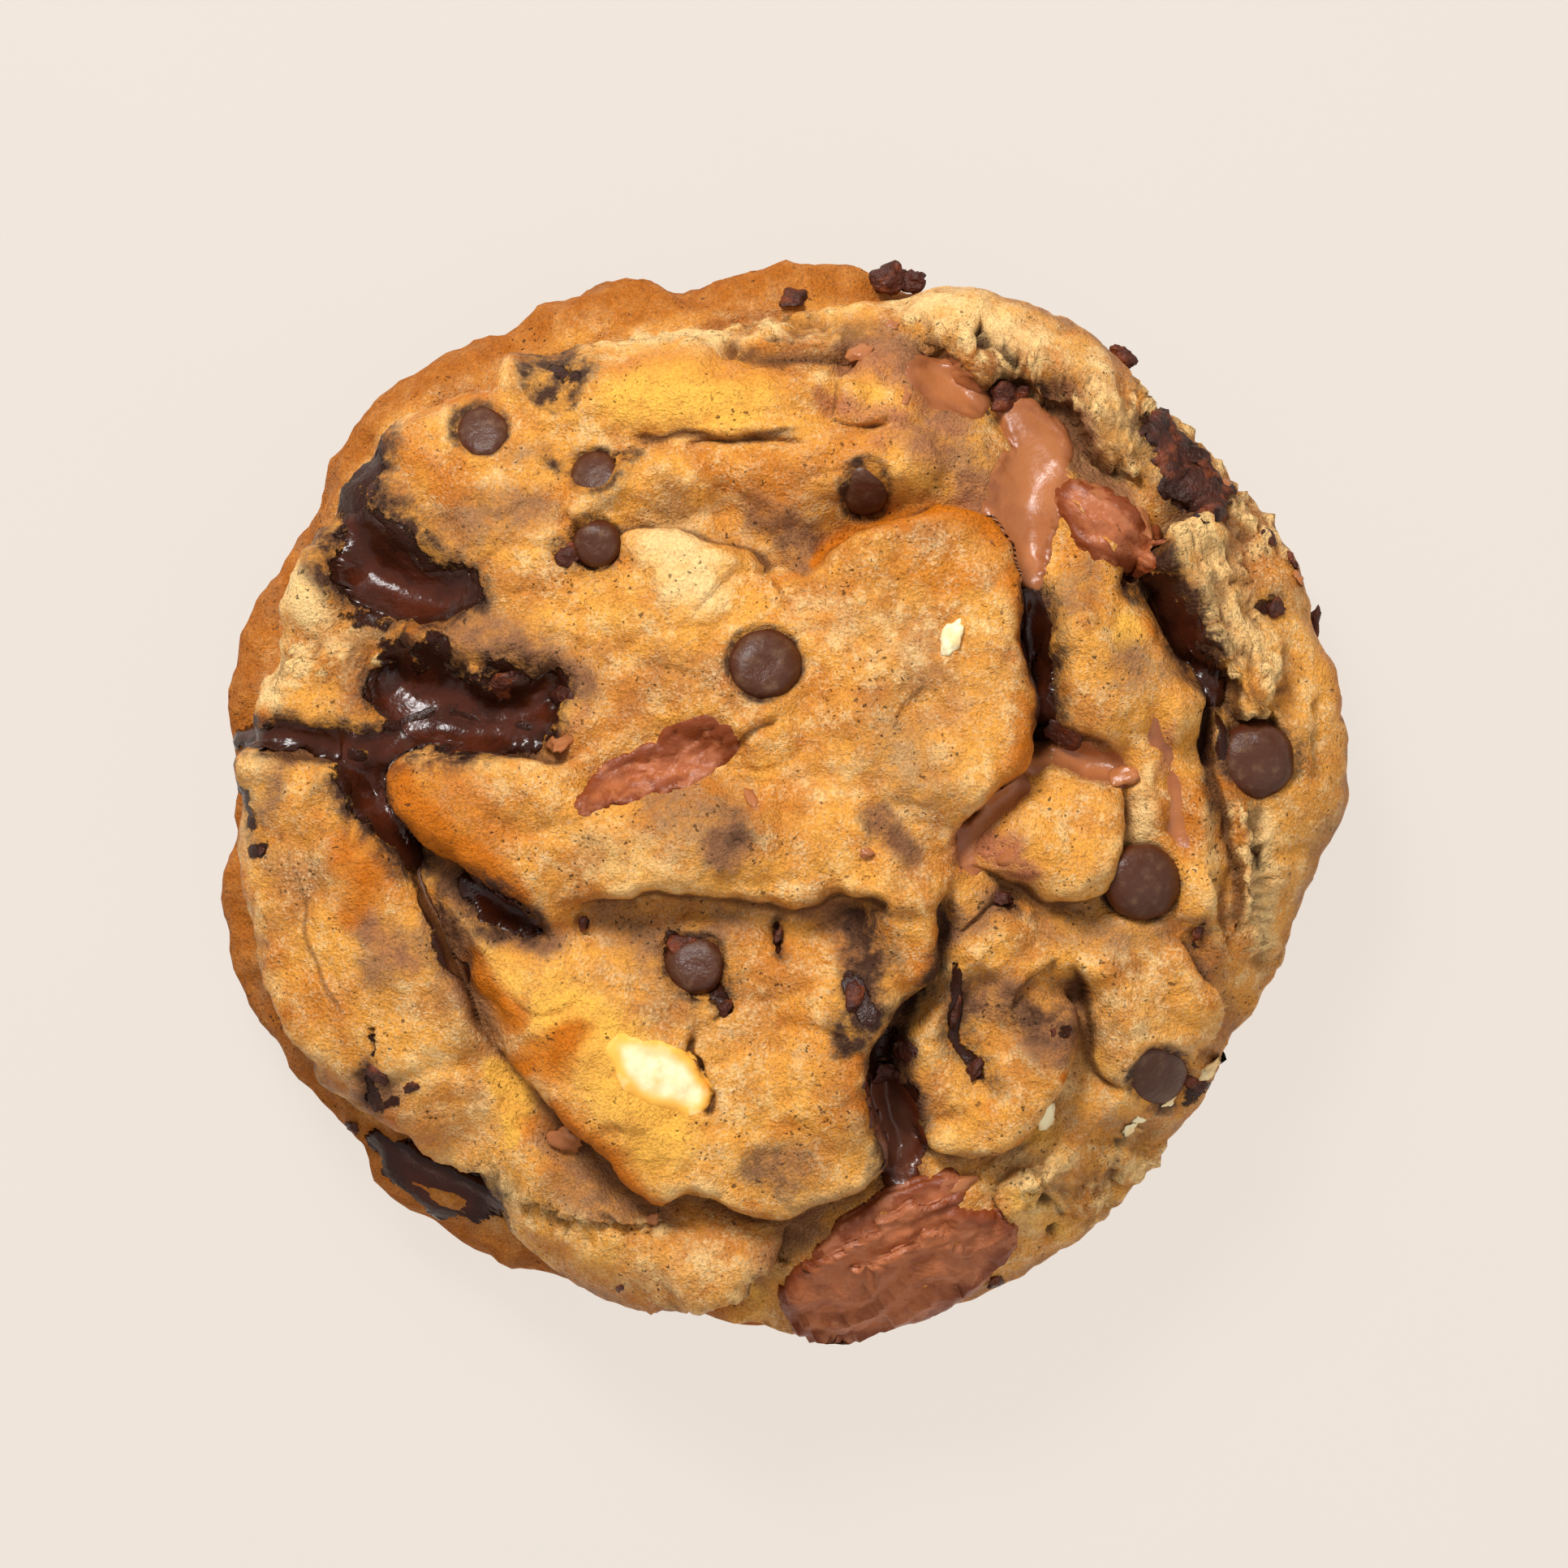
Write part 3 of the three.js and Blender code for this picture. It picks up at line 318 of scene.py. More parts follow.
# Cracks in the crust: the line, with each crack's half width and depth.
CRACKS = [
    ([(-9, -22.8), (-9.6, -25.1), (-8.7, -26), (-7.8, -28.5), (-7.4, -30.3), (-8.2, -31.2)], 0.45, 1.2),
    ([(-7.7, -22.3), (-5.8, -21), (-5.4, -20.5)], 0.4, 0.8),
    ([(20.2, 48.6), (19.9, 47.3), (21, 46.3)], 0.5, 1.2),
    ([(21.8, 46.9), (22.5, 45.2), (23.5, 44.7)], 0.5, 1.2),
    ([(25, 43.2), (26.7, 42.5), (27.2, 41.2)], 0.4, 0.9),
    ([(-1.4, 22.2), (-0.7, 21.7), (-0.3, 20.5)], 0.3, 0.5),
    ([(-1.2, -12.5), (-0.7, -13.5), (-1, -14.8)], 0.35, 0.7),
    ([(-24.7, -41.1), (-23.3, -40.8), (-22.6, -41.9), (-21.5, -41.7)], 0.35, 0.8),
    ([(-19.1, -41.1), (-17.5, -41.8), (-16.2, -43.1)], 0.35, 0.7),
    ([(25.4, -40), (26.2, -40.2), (26.7, -40.8)], 0.6, 1.3),
    ([(27.3, -41.7), (28.3, -41.2)], 0.6, 1.3),
    ([(26.2, -43.8), (27.5, -43.3)], 0.6, 1.2),
    ([(35.1, -33.3), (34.2, -34.2), (33.2, -35.2)], 0.4, 1.0),
    ([(-35.8, -30.5), (-34.8, -30.3)], 0.3, 0.5),
    ([(-41.6, -22.5), (-41.3, -23.9), (-40.8, -25.2)], 0.35, 0.8),
    ([(-43.2, -26.7), (-41.7, -27.5), (-40.8, -29), (-39.7, -29.5)], 0.5, 1.1),
    ([(35, 22.7), (36, 24), (37.8, 25), (38.3, 26)], 0.8, 2.2),
    ([(-34.2, -40.2), (-33.2, -39.5)], 0.4, 0.7),
    ([(-2.5, 46.5), (-0.4, 45.8), (1.2, 46.2)], 0.5, 0.9),
    ([(46.7, -6), (48.2, -5.2), (48.8, -7)], 0.5, 1.0),
    ([(43.3, 10.7), (42.8, 7.3), (43.5, 3.2)], 0.7, 1.8),
]
CRACK_SPREAD = 0.25

# Patches of colour on the dough, in the order they are laid: name of the finish, then lines of
# (x, y, half width), each with its strength.
PAINT = {
    "pale": [
        ([(-50.7, 27.6, 1.8), (-45.1, 36.6, 1.8), (-37.9, 43, 1.8), (-31.8, 44.8, 1.7), (-25.4, 46.7, 1.7),
          (-18.3, 47, 1.7)], 0.55),
        ([(-12.9, 47.5, 2.2), (-10, 47.8, 2), (-7.1, 46.7, 1.7)], 0.9),
        ([(11.7, 51.7, 2.2), (19.2, 49.8, 3), (25.8, 46.5, 2.8)], 0.6),
        ([(30, 44, 2.8), (35.8, 37.3, 2.5), (37.5, 33.2, 1.8)], 0.5),
        ([(40.8, 27.3, 2.5), (47.5, 16.5, 3.3)], 0.6),
        ([(48.3, -1.8, 1.8), (48.2, -9.3, 2), (49.2, -14.8, 1.7)], 0.8),
        ([(42.5, -1, 1.2), (43.3, -11, 1.3)], 0.5),
        ([(36.2, 2.3, 1.5), (36.5, -4.3, 1.3)], 0.6),
        ([(-53.3, 15.7, 2.2), (-52.9, 10.7, 1.8)], 0.8),
        ([(-49.6, 22.3, 2.2), (-47.5, 19, 2.2)], 0.8),
        ([(-45, 16.5, 3)], 0.5),
        ([(12.5, 15.7, 5), (2.5, 19, 3.3)], 0.35),
        ([(15, 4, 5.8), (2.5, 2.3, 4.2)], 0.3),
        ([(-9.2, -6, 3.3), (-17.5, -5.2, 4.2)], 0.35),
        ([(-27.5, -39.8, 2.5), (-30.8, -37.7, 1.7)], 0.6),
        ([(-30.8, -33, 3.6), (-37, -26, 3.6)], 0.35),
        ([(-17, -46.6, 3.4), (-10, -46.6, 2.6)], 0.35),
        ([(22.5, -37.7, 2.5), (27.5, -36, 2.5), (24.2, -42.7, 3.3)], 0.5),
        ([(30, -26.8, 2.5), (26.7, -32.7, 1.7)], 0.4),
        ([(-1.7, -47.7, 3.3), (-10, -45.2, 2.5)], 0.3),
        ([(35.8, -21.8, 5)], 0.35),
        ([(12.5, -21, 2), (15, -16, 1.7)], 0.5),
        ([(-12, 26, 4), (-8.5, 22, 4)], 0.75),
    ],
    "butter": [
        ([(-16.2, 40.2, 3.2), (-10.8, 40.7, 4), (-5.4, 40, 3.3), (-2.5, 41.5, 2.5)], 0.85),
        ([(8.1, 41.7, 2)], 0.7),
        ([(11.7, 31.3, 2), (15, 32.3, 1.7)], 0.6),
        ([(-16.7, 19, 3.7)], 0.4),
        ([(-38.8, 15.7, 1.8)], 0.6),
        ([(34.6, 17.3, 2.2), (33.3, 15.7, 1.3)], 0.9),
        ([(-22.5, -20.2, 4.2), (-17.5, -25.2, 5), (-12.5, -31.8, 5)], 0.9),
        # Painted highlight: a bright sheen laid in the butter colour.
        ([(-26.7, -18.1, 2.2), (-30, -14.8, 1.3)], 0.6),
        ([(-29, -27.7, 1.7), (-28, -31, 2), (-27.5, -33.9, 1.2)], 1.0),
        ([(24.2, -40.2, 3), (27.5, -42.7, 2)], 0.6),
        ([(17.5, -29.3, 2), (16.7, -33.5, 2.5)], 0.35),
        ([(26.3, -33.1, 2.5), (25, -34.3, 1.7)], 0.6),
        ([(-3.3, -52.7, 2), (-5.8, -51.8, 1.7)], 0.6),
        ([(-18.3, -46, 3.3)], 0.5),
        ([(31.2, -26, 2)], 0.5),
        ([(2.5, -29.3, 5.8), (-4.2, -34.3, 4.2)], 0.3),
        ([(-16.7, -5.2, 5)], 0.3),
        ([(9.2, -7.7, 5), (5, -6, 3.3)], 0.25),
    ],
    "toast": [
        ([(-39.2, 3.2, 2.2), (-37.5, 1.1, 2.5), (-34.2, -2.7, 2.7), (-30.4, -5.8, 2.5),
          (-26.7, -8.9, 1.7)], 1.0),
        ([(-34.2, 3.2, 2.5), (-29.2, -2.7, 3)], 0.55),
        ([(2.5, 24.8, 1), (6.8, 27.2, 1.7), (11.7, 28.6, 2), (16.8, 28.6, 2.2), (19.6, 26.9, 2)], 0.85),
        ([(21.2, 22.3, 1.5), (23.3, 15.7, 1.3), (24.3, 10.7, 1.7), (23.2, 5.7, 2.2), (20.4, 1.1, 1.7)], 0.6),
        ([(-31.7, -16.8, 1.8), (-28.8, -19.5, 1.7), (-27, -21, 1.7)], 0.8),
        ([(-26.2, -26, 1.8), (-23.3, -25.2, 2.8), (-21.2, -23.1, 2.2)], 0.8),
        ([(-22.5, -30.2, 1.7), (-19.1, -33.1, 1.8), (-17, -34.9, 2.2), (-15, -37.2, 2.2),
          (-13.2, -39.2, 1.8)], 0.9),
        ([(-36.1, 41.7, 2.7)], 0.6),
        ([(-37.2, 34.8, 2.3), (-34.5, 32.6, 1.7)], 0.5),
        ([(-22.5, 27.8, 1.5), (-16.2, 24, 1.2)], 0.5),
        ([(-15.8, 43.2, 1.7), (-0.8, 43.2, 2.8)], 0.45),
        ([(-1.8, 32.6, 3.7), (6.5, 35.6, 3.8)], 0.4),
        ([(36.7, 31.5, 1.7)], 0.3),
        ([(46.6, 23.6, 2.8)], 0.4),
        ([(56.5, 13.6, 2.5), (56.8, 9.8, 1.5)], 0.55),
        ([(-43.5, -5.2, 3), (-41.7, -7.7, 2.5), (-44.2, -11, 1.7)], 0.7),
        ([(-47.5, -2.7, 2.5)], 0.4),
        ([(-36, -32.2, 2.8), (-34.2, -34.3, 1.7)], 0.5),
        ([(-44.2, -20.2, 4.2)], 0.3),
        ([(-20, -45.2, 4.2), (-15.8, -48.9, 2.5)], 0.2),
        ([(-7.1, -52.2, 2.5)], 0.5),
        ([(27.2, -26.2, 0.8)], 0.9),
        ([(40.4, 10.7, 2.5), (41.7, 13.2, 1.7)], 0.4),
        ([(-15.3, 11.6, 2.8), (-17.5, 7.3, 2.2)], 0.35),
        ([(8.6, -4.9, 2.5)], 0.3),
        ([(2.5, -25.2, 5)], 0.25),
        ([(17.5, 9, 4.2)], 0.35),
        ([(44.2, -23.5, 2)], 0.4),
    ],
    "stain": [
        ([(-41.7, 35.7, 2), (-43.3, 29, 2.5), (-39.2, 24.8, 3.3), (-34.2, 20.7, 2.5)], 0.6),
        ([(-39.2, 30.7, 2.2)], 0.5),
        ([(-27.5, 34.8, 1.3), (-24.2, 35.7, 1.2)], 0.4),
        ([(-31.7, 16.5, 4.2), (-25.8, 15.7, 3.3), (-20.8, 11.5, 3)], 0.7),
        ([(-44.8, 12.5, 2.2), (-44.2, 11.5, 2.5)], 0.3),
        # Painted shade in the hollow below the long ridge near the top.
        ([(-0.8, 27.3, 2.2), (1.2, 24.8, 1.7), (-3.3, 29, 1.2)], 0.55),
        ([(2.5, 31.5, 2.5)], 0.3),
        ([(5.8, 45.7, 2.5), (10.8, 46.5, 2.5), (15.8, 40.7, 4.2)], 0.55),
        ([(18.3, 35.7, 3.3), (21.7, 29, 2.2)], 0.5),
        # Painted shade: the brown band on the shaded inner side of the rolled edge at the upper right.
        ([(27.8, 40.7, 2.2), (30.8, 35.7, 2.8), (33.3, 30.7, 2.5)], 0.85),
        ([(29.2, 20.7, 3.3), (30.8, 24, 2.2)], 0.5),
        ([(25.8, 20.2, 1.5)], 0.8),
        ([(39.2, 14, 2.5), (43.3, 15.7, 1.8)], 0.55),
        ([(27.9, 6.9, 2.2), (31.7, 4.8, 1.7)], 0.6),
        ([(-12.5, 0.2, 4.2), (-5.8, -1.8, 4.2)], 0.5),
        ([(-6.2, -4.3, 2.8)], 0.95),
        ([(8.8, -2.2, 2), (12.3, -5.3, 1.3)], 0.75),
        ([(-17.5, -11.4, 3.3), (-11.1, -15.2, 4.7), (-5.8, -11.8, 3.3)], 0.5),
        ([(2.5, -11, 1.7), (7, -13.5, 2.8), (7.5, -19.3, 1.7)], 0.75),
        ([(11.7, -21, 1.7), (10.4, -25.2, 2.8), (11.7, -30.2, 2.8)], 0.9),
        ([(21.7, -9.8, 2.2), (16.7, -13.5, 1.7)], 0.6),
        ([(18.3, -20.2, 2.8), (23.3, -19.8, 2.5), (26.7, -23.5, 2.7), (29.2, -20.2, 2.2)], 0.7),
        ([(26.7, -12.7, 2.5), (39.2, -13.5, 1.7)], 0.45),
        ([(45.8, 4.8, 3.3), (48.3, 5.7, 3.3)], 0.75),
        ([(41.7, -13.1, 1.7), (44.2, -17.7, 1.7)], 0.5),
        # Partly a chocolate stain and partly painted shadow under the lower edge of the snout's fold.
        ([(-34.2, -7.2, 2.5), (-29.2, -11, 3.7), (-24.2, -13.5, 2.5)], 0.85),
        ([(-35.4, -12.7, 2.2), (-32.9, -16.8, 2.8), (-30.8, -21, 2)], 0.85),
        ([(-42.8, -12.1, 2), (-37.4, -15.5, 2.5), (-40.8, -16.8, 2.5)], 0.55),
        ([(-51.2, 2.3, 1.8), (-52.5, -1, 1.7), (-49.2, 7.3, 1.7)], 0.55),
        ([(-41.7, -27.7, 2.5), (-38.8, -28.5, 2)], 0.6),
        ([(-49.2, -26, 1.8), (-45.8, -28.5, 1.7)], 0.55),
        ([(-23.3, -34.3, 2.5), (-19.2, -38.5, 2.8), (-12.5, -41.8, 2.5)], 0.6),
        ([(-22.5, -38.5, 2), (-19.1, -41.1, 2.2)], 0.5),
        ([(0.4, -36, 3), (-2.5, -35.6, 2)], 0.55),
        ([(1.7, -39.3, 2.5), (7.5, -38.5, 2.2), (13.3, -38.5, 1.7)], 0.4),
        ([(-1.7, -45.6, 2.8), (2.5, -43.5, 2.5)], 0.55),
        ([(17.5, -36.4, 2), (23.3, -35.2, 1.3)], 0.4),
        ([(37.5, -32.7, 2.5), (30.8, -31.8, 2.5)], 0.35),
        ([(-22.5, 24.8, 1.3), (-17.9, 24, 1)], 0.5),
        ([(-32.5, 27.3, 5), (-26, 30, 3.4)], 0.5),
        ([(34.2, 13.2, 4)], 0.55),
        ([(14.5, 36, 4)], 0.5),
        # More painted shade in the hollow below the long ridge near the top.
        ([(-2, 29.5, 2.6), (3, 26.5, 2.4)], 0.7),
        ([(10, 6, 4), (14, 1, 4)], 0.35),
    ],
    "salmon": [
        ([(17.9, -4.3, 2.2), (21.2, -4.3, 2.8), (23.8, -6, 1.7)], 0.75),
        ([(9.2, 35.7, 2.2), (11.7, 38.2, 1.7), (3.3, 40.7, 1.3)], 0.55),
        ([(6.7, 44.8, 2.5), (12.5, 44, 2.8), (16.7, 39, 3.3)], 0.6),
        ([(19.2, 32.3, 2.5), (20.4, 27.3, 1.7)], 0.6),
        ([(32.5, 32.3, 2.5), (35, 28.2, 2.5)], 0.5),
        ([(-43.3, -11, 1.7), (-40.8, -13.5, 1.7), (-37.5, -16.8, 1.3)], 0.6),
        ([(5.8, 49, 1.7), (9.2, 49, 1.7)], 0.4),
        ([(28.3, 4.8, 1.8), (33.3, 3.2, 1.7)], 0.6),
        ([(38.5, 7.3, 1), (37.5, 2.3, 1.2)], 0.5),
        ([(-17.5, 2.3, 2), (-12.5, 3.2, 2), (-7.5, 4.8, 1.7)], 0.5),
        ([(-22.5, 6.1, 1.2), (-20, 9, 1)], 0.5),
        ([(3.3, -47.7, 2), (13.3, -39.3, 1.7)], 0.4),
        ([(17.5, -42.7, 2.5)], 0.4),
        ([(15, 35.7, 4)], 0.6),
    ],
    "char": [
        ([(-41.5, 36, 1.5), (-42.5, 32, 2.5), (-40, 28.5, 3.5), (-38, 26.5, 3.8), (-34.5, 23.5, 2.5)], 0.85),
        ([(-43, 19, 3), (-39.5, 18.5, 2.5)], 0.6),
        ([(-38, 15.5, 2), (-34, 11.8, 3), (-28, 11.8, 4.2), (-23.5, 11, 3)], 0.95),
        ([(-28.5, 11.6, 2.6)], 1.0),
        ([(-51.5, 7.2, 2), (-47, 6.8, 2.2)], 0.8),
        ([(-45, 3, 2.5), (-46.5, 0, 2)], 0.45),
        ([(-35.5, -8.5, 1.6), (-34.5, -12.5, 2.4), (-34.5, -15.5, 2.4), (-32, -18.5, 2)], 0.65),
        ([(-28.5, -9.5, 3.5), (-31.5, -11, 3)], 0.45),
        ([(-10.6, -15.4, 2.6), (-8.8, -16.8, 3.6), (-6.8, -18.8, 2.6)], 0.8),
        ([(-5.2, -3.4, 3.2)], 0.5),
        ([(8, -2.2, 2.4), (12, -5, 1.8)], 0.4),
        ([(-0.7, -12, 1.2), (-0.8, -15, 1.2)], 0.7),
        ([(7.8, -12, 3), (8, -16.5, 3), (7, -21, 2.6), (5.6, -24, 1.6)], 0.8),
        ([(16.5, -11, 1.6), (13.5, -17.5, 2), (10.5, -24, 3.4), (11, -28, 4)], 0.85),
        ([(9.5, -26, 3)], 0.9),
        ([(17, -18, 2), (18, -24, 2.6), (20, -27.5, 2.4)], 0.6),
        ([(27, -22.5, 2.8), (23.5, -20.5, 2.4)], 0.6),
        ([(28, -17.5, 2.4), (30, -20.5, 2)], 0.4),
        ([(22, -9.8, 2)], 0.85),
        ([(24.6, -11.5, 1), (29.5, -11.8, 1)], 0.45),
        ([(-24, 34.5, 1.4), (-19, 33, 3.4), (-15.5, 34.4, 1.6)], 0.7),
        ([(-22.5, 41.5, 2), (-20, 43.5, 2.4)], 0.6),
        ([(-23, 25.5, 2), (-19.5, 24, 2.4)], 0.6),
        ([(6.5, 31, 3), (3, 27.5, 2.4), (0, 27, 2.4)], 0.35),
        ([(22.5, 41.2, 3)], 0.7),
        ([(37.5, 38.5, 3), (40, 34, 3.6), (43.5, 30, 3)], 0.75),
        ([(35.5, 22.5, 1.8), (39.5, 20, 2.6), (42.5, 14, 2.2)], 0.8),
        ([(43.5, 8, 1.6), (43, 2, 1.6), (44, -3, 1.4)], 0.6),
        ([(47.6, 4.4, 4.6)], 0.5),
        ([(50, 19.6, 2.2)], 0.6),
        ([(41.5, -12.5, 1.5), (42.6, -16, 1.5)], 0.5),
        ([(1, 52, 2.6)], 0.6),
        ([(-41.7, -26.5, 2.2), (-40, -28.6, 2)], 0.6),
        ([(-49, -28, 1.6), (-45.5, -29, 1.6)], 0.5),
        ([(-42, -35.5, 2.4), (-37.5, -38.8, 3.4), (-31, -41.6, 2.4)], 0.8),
        ([(1.4, -35.8, 3.4), (-2.5, -35.6, 2.4)], 0.35),
        ([(42, -28.8, 2)], 0.6),
        ([(-56.4, 5, 1.6), (-55.4, 1, 1.6), (-53.6, -4.5, 1.6)], 0.6),
    ],
    "cocoa": [
        ([(-41, 36, 1.4), (-42.7, 32.3, 1.6), (-44.2, 28.6, 2), (-44.7, 24, 1.8)], 1.0),
        ([(-42.5, 29, 1.6), (-40, 26, 2.6), (-37, 24.4, 2)], 0.8),
        ([(-44, 25.5, 2.4), (-41, 22.5, 3.8), (-37, 21.2, 3.6), (-33.2, 21.5, 2.4)], 1.0),
        ([(-44, 19, 1.6), (-41.5, 18.6, 1.4)], 0.75),
        ([(-40.5, 15, 2), (-39.5, 11.5, 3.6), (-35.5, 8.6, 4.6), (-30, 8.2, 4.4), (-25.4, 8.4, 3.2),
          (-23.4, 11.5, 2)], 1.0),
        ([(-28.5, 12.5, 2.6), (-26.5, 11, 2.2)], 0.85),
        ([(-35.4, 14.8, 1.7), (-39.2, 13.2, 1.3)], 0.8),
        ([(-56.2, 6.3, 1), (-52.5, 6.9, 1.3), (-47.5, 6.1, 1.3), (-43.3, 4.8, 1.7), (-40, 4.8, 1.5)], 0.95),
        ([(-44.1, 3.2, 1.7), (-41.8, -1, 1.7), (-39.2, -3.9, 1.2)], 1.0),
        ([(-39, -4.1, 0.5), (-37.4, -8.8, 0.5), (-36.1, -12.8, 0.6), (-35, -16, 0.6),
          (-32.1, -18.7, 0.8)], 1.0),
        ([(-56.8, 6.9, 0.8), (-56.5, 3.2, 0.8), (-55.4, 0.7, 0.8), (-53.9, -2.8, 0.7)], 1.0),
        ([(-54, -5.2, 0.9), (-52.7, -4.8, 0.6)], 1.0),
        ([(-30.8, -8.9, 1.7), (-28.3, -10.3, 2.2), (-26.2, -11.4, 1.3)], 0.95),
        ([(-20.4, -11.8, 0.4), (-20.5, -12.8, 0.5)], 0.9),
        ([(-11.7, -14.3, 1.2), (-10.2, -16.4, 1.7), (-7.5, -18.9, 1.3), (-5.8, -20.8, 0.7)], 0.9),
        ([(-0.8, -12.2, 0.4), (-0.8, -14.5, 0.4)], 0.9),
        ([(7, -18.1, 1.1), (7.5, -21, 0.8)], 1.0),
        ([(10.2, -24.3, 1.8), (9.6, -28.5, 1.8), (11.7, -29.3, 1.7)], 0.75),
        ([(16.7, -16, 0.4), (17, -20.2, 0.7), (17.5, -23.9, 0.6), (19, -26.4, 0.8), (19.5, -28.2, 0.6)], 1.0),
        ([(27.2, -22.8, 0.7)], 0.8),
        ([(20, -20.6, 0.4), (21.3, -20.2, 0.3)], 0.6),
        ([(22, -10, 0.8)], 0.95),
        ([(25, 20.2, 0.8), (25.2, 15.7, 1.2), (25.5, 10.7, 1), (26.7, 7.3, 0.7)], 1.0),
        ([(30, 5.8, 1.2)], 0.7),
        # Painted shade: a near-black line along the deep crack at the upper right.
        ([(35.4, 22.8, 0.7), (37.5, 24.7, 0.8)], 0.95),
        ([(39.8, 20.2, 1.2), (41, 16.5, 1.2), (42.9, 14.4, 0.8), (43.8, 11.5, 0.8)], 0.95),
        ([(44.4, 9, 0.7), (44.2, 4.8, 0.8)], 0.9),
        ([(50, 19.4, 1), (49.2, 20.2, 0.8)], 0.9),
        ([(41.8, -12.7, 0.6), (42.5, -15.2, 0.5)], 0.7),
        ([(1.2, 51.9, 1.5)], 0.95),
        ([(-21.5, 42.5, 1.2), (-23.3, 43.8, 0.8)], 0.8),
        ([(-41.7, -35.3, 0.8), (-39.2, -37.7, 1.3), (-35.4, -40.2, 2.2), (-31.2, -41.2, 1.7)], 0.95),
        ([(-49.2, -27.9, 0.7), (-46.5, -29, 0.7), (-44.2, -29.3, 0.5)], 0.8),
        ([(-45.8, -33, 0.6), (-43.9, -34.1, 0.6)], 0.95),
        ([(-42.3, -27, 0.6), (-40.8, -28.3, 0.8), (-39.8, -29.3, 0.4), (-38, -29, 0.7)], 0.85),
        ([(-41.7, -23.3, 0.3), (-41.2, -24.8, 0.4)], 0.7),
        ([(-16.8, -49.4, 0.4)], 0.8),
        ([(38.3, 37.3, 1.7), (40, 33.2, 2), (43.3, 30.7, 1.5)], 0.8),
        ([(21.5, -49.4, 0.6)], 0.8),
        ([(42, -28.6, 1), (40, -29.8, 0.8)], 0.7),
        ([(-21, 24.8, 1.3), (-19.2, 23.6, 0.8)], 0.7),
        ([(-19.2, 33.2, 2), (-16.7, 34, 1.2)], 0.6),
        ([(21.7, 41.5, 2.2), (23.8, 41.7, 1.2)], 0.7),
        ([(37.5, 39.4, 1.3), (39.2, 38.2, 0.8)], 0.7),
    ],
}
# A patch fades out between these shares of its half width.
PAINT_FADE = (0.1, 1.6)

# Melted pools that lie in the dough: finish, how far each stands proud of the dented dough, how ragged
# its outline is, and its lines of (x, y, half width).
POOLS = {
    "dark_pool_upper_left": ("dark", 0.1, 0.3, [
        [(-40.8, 36, 0.9), (-42.7, 32.3, 1.2), (-44.4, 28.6, 1.5), (-44.6, 26.2, 1.8)],
        [(-44.4, 27, 2), (-43.6, 24, 2.8), (-40.6, 22, 3.2), (-37, 21, 3), (-33.2, 21.2, 2)],
        [(-43, 28.5, 1), (-40, 25.8, 1.4), (-38.4, 24, 1.2)],
    ]),
    "dark_pool_left": ("dark", 0.1, 0.25, [
        [(-40.2, 11, 2.4), (-37.6, 9.4, 3.8), (-33.6, 8, 4), (-29, 7.6, 3.2), (-25.6, 8.6, 2.6)],
        [(-38.2, 15.4, 1.3), (-37, 12.6, 2.2), (-36.6, 10, 2.6)],
        [(-26, 10.2, 1.6), (-24.2, 11.6, 1.2)],
    ]),
    "dark_pool_left_fork": ("dark", 0.15, 0.25, [
        [(-56.2, 6.5, 0.9), (-52, 6.8, 1.3), (-47.5, 6.2, 1.4), (-43.8, 4.7, 2.2), (-41.9, 0.2, 2.4),
         (-39.4, -3.6, 1.6), (-38.2, -6, 0.8)],
        [(-43.8, 4.7, 2), (-41, 5.4, 2.2), (-37.5, 5.7, 1.4)],
    ]),
    "dark_pool_under_snout": ("dark", 0.35, 0.25, [
        [(-31.5, -8.7, 1.4), (-29, -10.2, 2.3), (-26.2, -11.9, 1.4)],
    ]),
    "dark_pool_gap": ("dark", 0.15, 0.2, [
        [(24.6, 21.2, 0.9), (25.4, 16.5, 1.5), (25.8, 10.8, 1.2), (26.6, 7.2, 0.8)],
    ]),
    "dark_pool_right": ("dark", 0.1, 0.3, [
        [(37.6, 23.6, 0.9), (39.6, 20.5, 1.3), (41.2, 17, 1.7), (42.9, 13.6, 1.1), (43.6, 10.6, 0.8)],
    ]),
    "dark_pool_lower": ("brown", 0.35, 0.08, [
        [(9.6, -28.6, 1.6), (10.6, -31.6, 2.7), (11.2, -35, 2.8), (11.6, -37.7, 1.6)],
    ]),
    "dark_pool_foot": ("dark", 0.15, 0.45, [
        [(-42, -35.2, 1.1), (-38.6, -38, 2.2), (-34.8, -40.4, 2.6), (-30.6, -41.6, 1.7)],
    ]),
    "milk_pool_right": ("milk", 0.3, 0.1, [
        [(23, 40.4, 1.5), (25.6, 37, 3), (25, 32.6, 3.8), (23.8, 28.4, 3.6), (24.4, 24.6, 2.6),
         (24.8, 22.4, 1)],
    ]),
    "milk_pool_top": ("milk", 0.25, 0.2, [[(13.5, 43.8, 1.4), (16.2, 42.5, 2.6), (19.2, 40.7, 1.4)]]),
    "milk_smear_right": ("milk", -0.15, 0.45, [
        [(18.6, -6, 1.6), (20.4, -3.4, 2.8), (21.8, -0.4, 2.4), (23.4, 2.6, 1.2)],
    ]),
    "milk_band_right": ("milk", -0.1, 0.45, [
        [(23.6, 3.8, 1), (28, 4.6, 1.5), (32.4, 3.4, 1.8), (35.4, 2.4, 1)],
    ]),
    "milk_streak_right": ("milk", -0.15, 0.5, [
        [(36.8, 9.2, 0.8), (38, 4.4, 1.5), (39.4, -0.4, 1.7), (40.4, -4, 1.1)],
    ]),
}
# How deep the dough is dented under the pools, and how ragged and how wide the edge of the dent is.
POOL_DENT = 0.9
POOL_DENT_RAG = 0.2
POOL_DENT_EDGE = (-0.4, 0.8)
